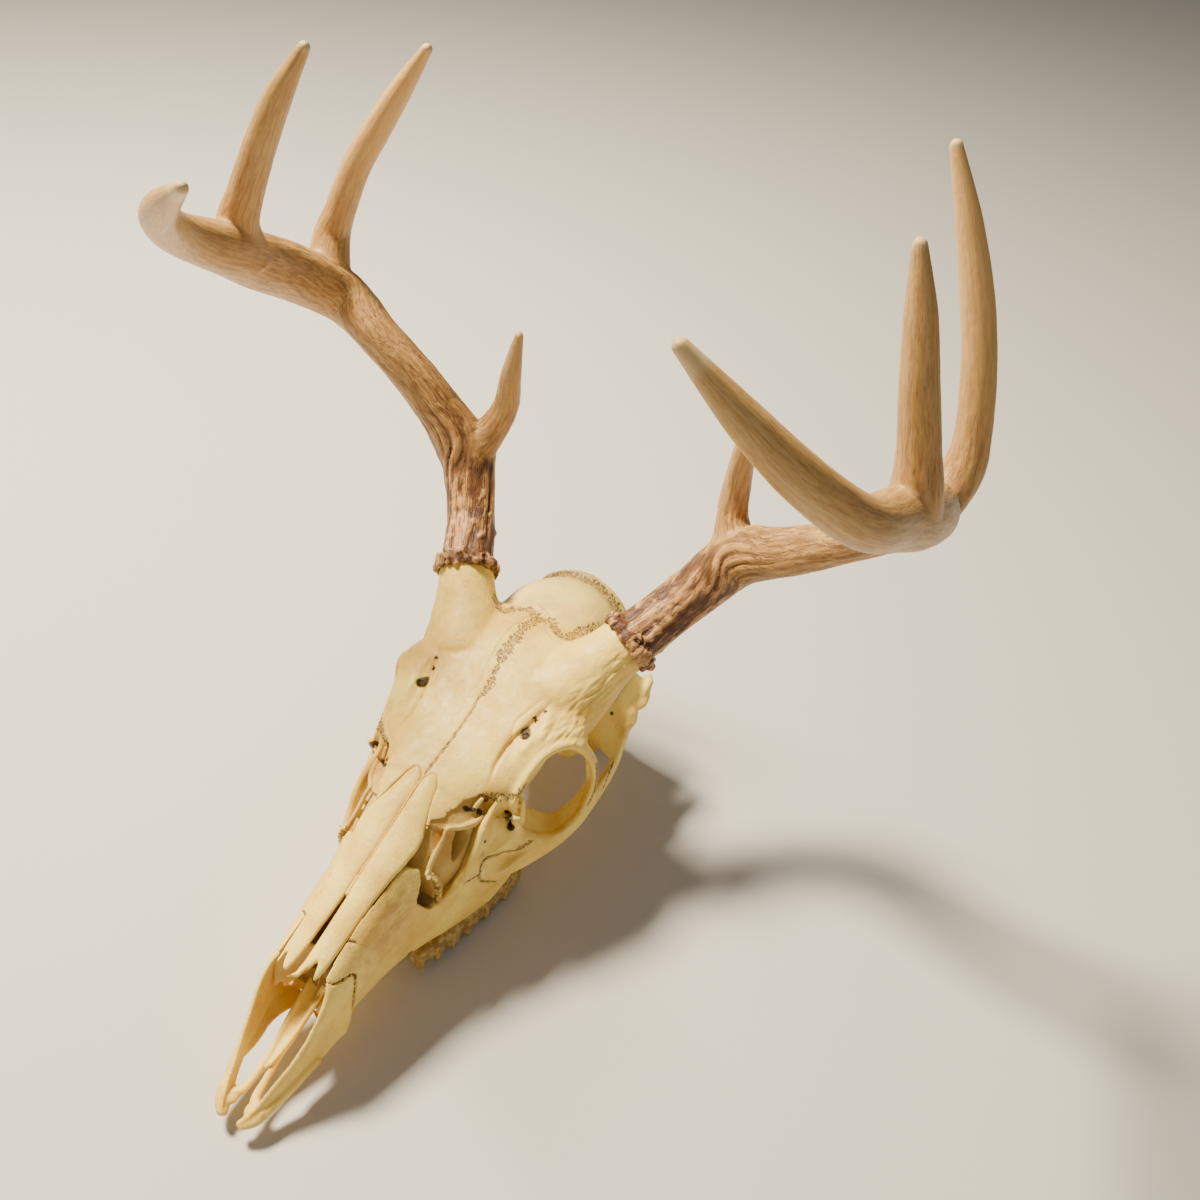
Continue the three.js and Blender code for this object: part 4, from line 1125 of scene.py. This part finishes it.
def burr(form, side):
    """A collar of beads around the antler's foot."""
    low, following = at(*BEAM[side][0]), at(*BEAM[side][1])
    axis = (following - low) / np.linalg.norm(following - low)
    low = low - axis * 2.2
    across = np.cross(axis, UP)
    across /= np.linalg.norm(across)
    over = np.cross(axis, across)
    round_limb(form, [low - axis * 0.8, low + axis * 1.6, low + axis * 5.4], [13.4, 14.8, 12.6], 40, 10)
    beads = np.random.default_rng(11 if side > 0 else 12)
    for row, (count, lift, spread) in enumerate(BURR_ROWS):
        for k in range(count):
            turn = 2 * math.pi * (k + 0.5 * row + beads.uniform(-0.3, 0.3)) / count
            radius = BURR_RADIUS + spread + beads.uniform(-0.6, 0.6)
            centre = low + axis * (lift + beads.uniform(-0.7, 0.7)) + (
                across * math.cos(turn) + over * math.sin(turn)) * radius
            ball(form, centre, beads.uniform(1.1, 2.1, 3), (0, 0, turn), 10)


def antler_axes(side):
    """Each branch's line, girths and the up direction of its sections."""
    axes = [(np.array(line_of(BEAM[side])), BEAM_GIRTHS[side], UP)]
    for lines, girths in TINES.values():
        axes.append((np.array(line_of(lines[side])), girths, FRONT_TO_BACK))
    return axes


def antler(side, name):
    form = bmesh.new()
    for points, girths, up in antler_axes(side):
        round_limb(form, points, girths, 40, 20 * len(points), up=up, close=0.8)
    horn = melt(body_of(form, name), ANTLER_GRAIN, smooth=5)
    collar = bmesh.new()
    burr(collar, side)
    horn = melt(join(horn, body_of(collar, "burr")), ANTLER_GRAIN)
    roughen(horn, side)
    if side < 0:
        flip(horn)
    return horn


def roughen(horn, side):
    """Ridges and furrows along each branch, pearls near the foot, and smooth tips."""
    points = spots(horn)
    weights, heights, ages, ways = [], [], [], []
    for number, (line, girths, up) in enumerate(antler_axes(side)):
        fine = spline(line, np.linspace(0, 1, 12 * len(line)))
        girth = spline(np.array([g if isinstance(g, tuple) else (g, g) for g in girths], float),
                       np.linspace(0, 1, len(fine))).mean(axis=1)
        gap, place = reach_of(points, fine)
        length = np.linalg.norm(np.diff(fine, axis=0), axis=1).sum()
        middle = spline(line, place)
        ahead = spline(line, place + 0.01) - spline(line, place - 0.01)
        ahead /= np.linalg.norm(ahead, axis=1)[:, None]
        across = np.cross(np.array(up, float), ahead)
        across /= np.linalg.norm(across, axis=1)[:, None]
        over = np.cross(ahead, across)
        offset = points - middle
        thick = np.interp(place, np.linspace(0, 1, len(fine)), girth)
        local = np.column_stack([np.sum(offset * across, axis=1) / thick * 11,
                                 np.sum(offset * over, axis=1) / thick * 11, place * length / 7])
        weight = np.exp(-9 * np.clip(gap / thick, 0, 6)) + 1e-30
        if number:
            weight *= np.clip(place / 0.2, 0.001, 1) ** 2
        if number == 0:
            years = np.clip(place * 1.02, 0, 1)
            strength = between([(0, 1.5), (0.12, 1.35), (0.3, 0.75), (0.5, 0.42), (0.75, 0.22), (1, 0.05)],
                               place)[:, 0]
        else:
            start = (0.22, 0.48, 0.6)[number - 1]
            years = np.clip(start + (1 - start) * place, 0, 1)
            strength = between([(0, (1.05, 0.4, 0.28)[number - 1]), (0.35, (0.85, 0.28, 0.2)[number - 1]),
                                (0.7, 0.2), (1, 0.03)], place)[:, 0]
        ridges = np.abs(noise(local, 4.6, 20 + number)) ** 0.8 - 0.38
        ridges += 0.5 * (np.abs(noise(local, 2.1, 30 + number)) - 0.3)
        weights.append(weight)
        heights.append(strength * ridges)
        ages.append(years)
        ways.append(local + number * 40)
    weights = np.array(weights) / np.sum(weights, axis=0)
    height, age = np.sum(weights * heights, axis=0), np.sum(weights * ages, axis=0)
    way = np.array(ways)[weights.argmax(axis=0), np.arange(len(points))]
    forked = np.clip(2.4 - 2.4 * weights.max(axis=0), 0, 1)
    pearls = np.clip(noise(points, 3.4, 50) - 0.32, 0, 1) * 1.9 * np.clip(1 - age / 0.2, 0, 1)
    height += pearls + 0.12 * noise(points, 2.4, 51) * np.clip(1.1 - age, 0.1, 1)
    raised(horn, height)
    keep(horn, "age", age)
    keep(horn, "relief", height)
    keep(horn, "forked", forked)
    # Painted light: a golden lit band on the back tine's upper part.
    keep(horn, "tine_light", weights[2] * np.clip(age * 2.2 - 1.1, 0, 0.75))
    layer = horn.data.attributes.new("way", "FLOAT_VECTOR", "POINT")
    layer.data.foreach_set("vector", way.astype(np.float32).ravel())


# --- Finishes ---


class Finish:
    """A material built from a few named values."""

    def __init__(self, name, roughness=0.55, specular=0.4):
        self.material = bpy.data.materials.new(name)
        self.material.use_nodes = True
        self.nodes = self.material.node_tree.nodes
        self.links = self.material.node_tree.links
        self.shader = self.nodes["Principled BSDF"]
        self.shader.inputs["Roughness"].default_value = roughness
        self.shader.inputs["Specular IOR Level"].default_value = specular
        self.place = self.nodes.new("ShaderNodeTexCoord").outputs["Object"]

    def join(self, value, socket):
        if isinstance(value, bpy.types.NodeSocket):
            self.links.new(value, socket)
        else:
            socket.default_value = value

    def noise(self, size_mm, detail=3.0, roughness=0.5, way=None):
        """Noise with lumps of a size in mm, in the object's space or along a named direction."""
        node = self.nodes.new("ShaderNodeTexNoise")
        if way:
            direction = self.nodes.new("ShaderNodeAttribute")
            direction.attribute_name = way
            self.join(direction.outputs["Vector"], node.inputs["Vector"])
            node.inputs["Scale"].default_value = 1 / size_mm
        else:
            self.join(self.place, node.inputs["Vector"])
            node.inputs["Scale"].default_value = 1000 / size_mm
        node.inputs["Detail"].default_value = detail
        node.inputs["Roughness"].default_value = roughness
        return node.outputs["Fac"]

    def value(self, name):
        node = self.nodes.new("ShaderNodeAttribute")
        node.attribute_name = name
        return node.outputs["Fac"]

    def math(self, operation, first, second=0.0, third=0.0):
        node = self.nodes.new("ShaderNodeMath")
        node.operation = operation
        for k, value in enumerate((first, second, third)):
            self.join(value, node.inputs[k])
        return node.outputs[0]

    def times(self, first, second):
        return self.math("MULTIPLY", first, second)

    def plus(self, first, second):
        return self.math("ADD", first, second)

    def minus(self, first, second):
        return self.math("SUBTRACT", first, second)

    def ramp(self, value, low, high, start=0.0, end=1.0):
        node = self.nodes.new("ShaderNodeMapRange")
        node.interpolation_type = "SMOOTHSTEP"
        self.join(value, node.inputs["Value"])
        for socket, number in (("From Min", low), ("From Max", high), ("To Min", start), ("To Max", end)):
            node.inputs[socket].default_value = number
        return node.outputs["Result"]

    def mix(self, factor, first, second):
        node = self.nodes.new("ShaderNodeMix")
        node.data_type = "RGBA"
        self.join(factor, node.inputs["Factor"])
        for value, socket in ((first, node.inputs["A"]), (second, node.inputs["B"])):
            self.join((*value, 1) if isinstance(value, tuple) else value, socket)
        return node.outputs["Result"]

    def bump(self, height, distance_mm, strength=1.0, normal=None):
        node = self.nodes.new("ShaderNodeBump")
        node.inputs["Strength"].default_value = strength
        node.inputs["Distance"].default_value = distance_mm * MM
        self.join(height, node.inputs["Height"])
        if normal is not None:
            self.join(normal, node.inputs["Normal"])
        return node.outputs["Normal"]


IVORY = (0.96, 0.70, 0.14)
CREAM = (0.84, 0.54, 0.09)
OCHRE = (0.56, 0.30, 0.045)
UMBER = (0.09, 0.036, 0.010)
TAN = (0.74, 0.50, 0.13)
# Pale cream for the painted highlight on standing edges.
EDGE_HIGHLIGHT = (0.97, 0.80, 0.28)


def suture_marks(finish):
    """1 on the suture's winding line and 0 off it, and the same for the band that it winds in."""
    along, across, sway, wave = (finish.value(name) for name in ("along", "across", "sway", "wave"))
    stray = finish.ramp(finish.noise(2.8, 2), 0.25, 0.75, -1.3, 1.3)
    drift = finish.times(finish.ramp(finish.noise(1.7, 2), 0.25, 0.75, -0.3, 0.3), sway)
    across = finish.plus(across, drift)
    turns = finish.times(finish.math("DIVIDE", finish.plus(along, stray), wave), 2 * math.pi)
    uneven = finish.times(sway, finish.ramp(finish.noise(5, 2), 0.3, 0.7, 0.5, 1.2))
    lean = finish.times(finish.math("SINE", finish.times(across, 1.6)), 1.3)
    bend = finish.plus(turns, lean)
    shift = finish.times(finish.math("SINE", bend), uneven)
    slope = finish.times(finish.math("DIVIDE", uneven, wave), 2 * math.pi)
    slope = finish.times(finish.math("COSINE", bend), slope)
    steep = finish.math("SQRT", finish.plus(finish.times(slope, slope), 1.0))
    gap = finish.math("DIVIDE", finish.math("ABSOLUTE", finish.minus(across, shift)), steep)
    sutured = finish.value("sutured")
    line = finish.times(finish.ramp(gap, 0.56, 0.2), sutured)
    width = finish.math("DIVIDE", finish.math("ABSOLUTE", across), finish.plus(sway, 1.0))
    band = finish.times(finish.ramp(width, 1.0, 0.3), sutured)
    return line, band


def bone_finish(name, inside=False):
    finish = Finish(name, 0.5, 0.42)
    cloud = finish.ramp(finish.noise(22, 3), 0.4, 0.62)
    colour = finish.mix(cloud, TAN, OCHRE) if inside else finish.mix(cloud, IVORY, CREAM)
    stain = finish.times(finish.ramp(finish.noise(30, 4), 0.53, 0.72), 0.4)
    colour = finish.mix(stain, colour, OCHRE)
    mottle = finish.ramp(finish.noise(2.6, 4), 0.5, 0.75, 0.0, 0.25)
    colour = finish.mix(mottle, colour, (0.50, 0.33, 0.12))
    colour = finish.mix(finish.ramp(finish.noise(0.9, 3), 0.6, 0.75, 0.0, 0.3), colour, (0.42, 0.26, 0.09))
    # Painted highlight: standing edges are lightened towards pale cream.
    colour = finish.mix(finish.ramp(finish.value("hollow"), -0.08, -0.5, 0.0, 0.6), colour, EDGE_HIGHLIGHT)
    grain = finish.noise(0.7, 3)
    pores = finish.ramp(finish.noise(1.6, 2), 0.30, 0.42)
    height = finish.plus(finish.times(grain, 0.35), pores)
    normal = finish.bump(height, 0.1, 0.6, finish.bump(finish.noise(3.2, 4, 0.6), 0.45, 0.5))
    # Painted shade: the colour darkens towards brown in hollows.
    hollow_shade = finish.ramp(finish.value("hollow"), 0.06, 0.6, 0.0, 0.85)
    colour = finish.mix(hollow_shade, colour, (0.24, 0.12, 0.035))
    if not inside:
        aged = finish.times(finish.value("aged"), finish.ramp(finish.noise(5, 4), 0.3, 0.7, 0.25, 1.0))
        colour = finish.mix(aged, colour, (0.60, 0.33, 0.075))
        # Painted shade: the inner faces of the nose are darkened to deep brown.
        colour = finish.mix(finish.times(finish.value("within"), 0.85), colour, (0.24, 0.13, 0.045))
        colour = finish.mix(finish.times(finish.value("grey"), 0.3), colour, (0.46, 0.42, 0.24))
        line, band = suture_marks(finish)
        colour = finish.mix(finish.times(band, 0.35), colour, (0.42, 0.25, 0.08))
        colour = finish.mix(finish.times(line, 0.85), colour, UMBER)
        normal = finish.bump(finish.times(line, -1.0), 0.3, 0.8, normal)
    # Painted shade: the walls of the small holes are made nearly black.
    colour = finish.mix(finish.times(finish.value("drilled"), 0.95), colour, (0.03, 0.015, 0.006))
    finish.join(colour, finish.shader.inputs["Base Color"])
    finish.join(normal, finish.shader.inputs["Normal"])
    finish.join(finish.ramp(finish.noise(6, 3), 0.3, 0.7, 0.42, 0.6), finish.shader.inputs["Roughness"])
    return finish.material


def tooth_finish():
    finish = Finish("worn tooth", 0.35, 0.5)
    cloud = finish.noise(4, 3)
    colour = finish.mix(finish.ramp(cloud, 0.35, 0.65), (0.60, 0.42, 0.13), (0.34, 0.19, 0.045))
    # Painted shade: the colour darkens towards near black in hollows.
    hollow_shade = finish.ramp(finish.value("hollow"), 0.04, 0.35, 0.0, 0.9)
    colour = finish.mix(hollow_shade, colour, (0.10, 0.05, 0.018))
    finish.join(colour, finish.shader.inputs["Base Color"])
    return finish.material


def antler_finish():
    finish = Finish("antler", 0.45, 0.45)
    age, relief = finish.value("age"), finish.value("relief")
    pure = finish.ramp(finish.value("forked"), 0.0, 1.0, 1.0, 0.15)
    blotch = finish.ramp(finish.noise(9, 4), 0.35, 0.68)
    streak = finish.ramp(finish.noise(1.7, 5, 0.6, way="way"), 0.36, 0.62)
    streak = finish.plus(0.5, finish.times(finish.minus(streak, 0.5), pure))
    off_line = finish.math("ABSOLUTE", finish.minus(finish.noise(2.7, 3, 0.55, way="way"), 0.5))
    vein = finish.times(finish.ramp(off_line, 0.0, 0.03, 1.0, 0.0), pure)
    vein = finish.times(vein, finish.ramp(age, 0.1, 0.85, 1.0, 0.25))
    speck = finish.ramp(finish.noise(0.8, 3, way="way"), 0.56, 0.72, 0.0, 0.6)
    # The foot's crests are light and its furrows dark by the relief: partly rubbed wear, partly painted
    # highlight and shade.
    low = finish.mix(blotch, (0.07, 0.024, 0.008), (0.17, 0.065, 0.02))
    high = finish.mix(blotch, (0.44, 0.20, 0.06), (0.62, 0.34, 0.12))
    crest = finish.plus(finish.ramp(relief, -0.45, 0.6), finish.ramp(streak, 0, 1, -0.25, 0.25))
    foot = finish.mix(finish.ramp(crest, 0.15, 0.85), low, high)
    middle = finish.mix(streak, (0.34, 0.16, 0.042), (0.58, 0.33, 0.10))
    middle = finish.mix(finish.times(blotch, 0.35), middle, (0.44, 0.24, 0.08))
    tip = finish.mix(streak, (0.46, 0.25, 0.075), (0.56, 0.34, 0.115))
    colour = finish.mix(finish.ramp(age, 0.1, 0.36), foot, middle)
    colour = finish.mix(finish.ramp(age, 0.5, 0.95), colour, tip)
    colour = finish.mix(speck, colour, (0.22, 0.10, 0.035))
    colour = finish.mix(finish.times(vein, 0.7), colour, (0.13, 0.052, 0.018))
    # Painted shade: the antler's hollows are darkened to near black.
    colour = finish.mix(finish.ramp(finish.value("hollow"), 0.04, 0.4, 0.0, 0.8), colour,
                        (0.05, 0.018, 0.006))
    # Painted highlight: standing edges are lightened to pale tan.
    colour = finish.mix(finish.ramp(finish.value("hollow"), -0.1, -0.6, 0.0, 0.35), colour,
                        (0.66, 0.42, 0.17))
    # Painted light: the back tine's upper part is lit golden.
    colour = finish.mix(finish.times(finish.value("tine_light"), 0.75), colour, (0.78, 0.46, 0.15))
    colour = finish.mix(finish.ramp(age, 0.985, 1.0, 0.0, 0.6), colour, (0.74, 0.56, 0.28))
    finish.join(colour, finish.shader.inputs["Base Color"])
    furrows = finish.minus(finish.times(streak, 0.5), vein)
    furrows = finish.times(furrows, finish.ramp(age, 0.2, 0.9, 1.0, 0.3))
    rough = finish.bump(finish.noise(0.9, 4), 0.12, 0.5)
    finish.join(finish.bump(furrows, 0.35, 0.8, rough), finish.shader.inputs["Normal"])
    finish.join(finish.ramp(age, 0.1, 0.9, 0.5, 0.38), finish.shader.inputs["Roughness"])
    return finish.material


def floor_finish():
    finish = Finish("plaster floor", 0.85, 0.2)
    finish.shader.inputs["Base Color"].default_value = (0.62, 0.60, 0.57, 1)
    return finish.material


# --- Putting the skull together ---


def into_frame(body, bounds):
    """Moves a finished piece into the frame, in metres, within the frame's box."""
    co = (spots(body) + np.array((0, ORIGIN_FORWARD, 0))) * MM
    low, high = (np.array(corner) for corner in bounds)
    move_to(body, np.clip(co, low + 0.00005, high - 0.00005))
    body.data.shade_smooth()
    body.data.set_sharp_from_angle(angle=math.radians(55))


def dress(body, material, nodes, bounds):
    """Finishes a piece and says what it is in the frame."""
    if "hollow" not in body.data.attributes:
        keep(body, "hollow", hollowness(body))
    into_frame(body, bounds)
    body.data.validate()
    body.data.materials.clear()
    body.data.materials.append(material)
    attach(body, "root")
    if nodes:
        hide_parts(*nodes)
    return body


# Where the bone has yellowed most (x, forward, z), how far that reaches, and how strong it is.
AGED_SPOTS = [((19, 196, 66), 14, 0.85), ((21, 214, 52), 13, 0.6), ((24, 196, 40), 16, 0.5),
              ((41, 62, 118), 12, 0.55), ((34, 92, 112), 12, 0.3), ((42, 152, 40), 14, 0.4),
              ((10, 40, 118), 14, 0.3), ((20, 232, 30), 14, 0.4), ((34, 158, 58), 9, 0.35),
              ((28, 100, 111), 8, 0.35)]


def aged_places(points):
    """How deeply the bone has yellowed, from 0 to 1: most on the snout's sides and below the burrs."""
    total = np.zeros(len(points))
    for centre, reach, depth in AGED_SPOTS:
        total += depth * np.exp(-np.sum((folded(points) - at(*centre)) ** 2, axis=1) / reach**2)
    return np.clip(total, 0, 1)


def nose_inside_shade(points):
    """1 on the inner faces of the snout, 0 outside: where the nose's inside is painted in shade."""
    x, forward, z = points[:, 0], -points[:, 1], points[:, 2]
    half, widest, top, _, upper, _ = between(FACE, forward).T
    up = np.clip((z - widest) / (top - widest), 0, 1)
    wall = half * np.sqrt(np.clip(1 - up ** (2 / upper), 0, 1)) ** upper
    depth = wall - np.abs(x)
    inner = np.clip((depth - 1.5) / 1.2, 0, 1) * np.clip((top - 1.6 - z) / 1.5, 0, 1)
    return inner * (forward > 150) * (forward < 242) * (z > 29)


def build():
    bounds = [list(corner) for corner in cad_bounds]
    bone, inner = bone_finish("dry bone"), bone_finish("thin inner bone", inside=True)
    worn, horn = tooth_finish(), antler_finish()
    skull = skull_shell()
    canals = bmesh.new()
    magnum_and_canals(canals)
    carve(skull, canals)
    sculpt(skull)
    points = spots(skull)
    keep(skull, "within", nose_inside_shade(points))
    keep(skull, "grey", np.clip((50 - -points[:, 1]) / 8, 0, 1) * (points[:, 2] > 80))
    keep(skull, "aged", aged_places(points))
    keep(skull, "drilled", drilled(points, CANALS))
    keep(skull, "hollow", hollowness(skull))
    for name, piece in bones_of(skull).items():
        dress(piece, bone, [name], bounds)
        piece.name = f"{name}_bone"
    for side, word, outline in ((1, "left", LEFT_NASAL), (-1, "right", RIGHT_NASAL)):
        dress(sculpt(nasal(outline, side, f"nasal_bone_{word}"), sutured=False), bone, [f"nasal_{word}"],
              bounds)
        dress(sculpt(premaxilla(side, f"premaxilla_bone_{word}")), bone, [f"premaxilla_{word}"],
              bounds)
        plates = inner_plates(f"inner_plates_{word}")
        keep(plates, "drilled", drilled(spots(plates), PLATE_HOLES))
        if side < 0:
            flip(plates)
        dress(plates, inner, [], bounds)
        dress(tooth_row(side, f"cheek_teeth_{word}"), worn, [], bounds)
        branches = [f"antler_{word}_{part}" for part in ANTLER_PARTS]
        dress(antler(side, f"antler_{word}"), horn, branches, bounds)
    septum = vomer()
    # The septum's back, deep in the nose, gets the same painted shade.
    keep(septum, "within", np.clip((222 + spots(septum)[:, 1]) / 14, 0, 1))
    dress(septum, bone, ["nasal_septum"], bounds)
    dress(conchae(), inner, [], bounds)


def stage():
    form = bmesh.new()
    bmesh.ops.create_grid(form, x_segments=1, y_segments=1, size=3)
    floor = body_of(form, "floor")
    floor.data.materials.append(floor_finish())
    world = bpy.context.scene.world or bpy.data.worlds.new("room")
    bpy.context.scene.world = world
    world.use_nodes = True
    world.node_tree.nodes["Background"].inputs["Color"].default_value = (1.0, 0.97, 0.93, 1)
    world.node_tree.nodes["Background"].inputs["Strength"].default_value = 0.17
    for name, place, size, power, colour in (
            ("key", (-0.75, 0.1, 1.35), 0.3, 82, (1.0, 0.88, 0.66)),
            ("fill", (1.2, -0.9, 0.9), 1.2, 3.5, (1.0, 0.96, 0.9))):
        light = bpy.data.lights.new(name, "AREA")
        light.size = size
        light.energy = power
        light.color = colour
        lamp = bpy.data.objects.new(name, light)
        lamp.location = place
        lamp.rotation_euler = (Vector((0.02, 0.0, 0.12)) - Vector(place)).to_track_quat("-Z", "Y").to_euler()
        bpy.context.scene.collection.objects.link(lamp)


def camera():
    """The still's view: in front of the skull's left side and above it."""
    eye = bpy.data.cameras.new("view")
    eye.sensor_width = 36
    eye.lens = 33.295
    lens = bpy.data.objects.new("view", eye)
    right = Vector((0.86834, 0.48449, 0.10611))
    down = Vector((0.39021, -0.53531, -0.74912))
    ahead = Vector((-0.30614, 0.69190, -0.65388))
    lens.matrix_world = Matrix.Translation((0.190995, -0.278426, 0.491294)) @ Matrix(
        (right, -down, -ahead)).transposed().to_4x4()
    bpy.context.scene.collection.objects.link(lens)
    bpy.context.scene.camera = lens


build()
stage()
camera()
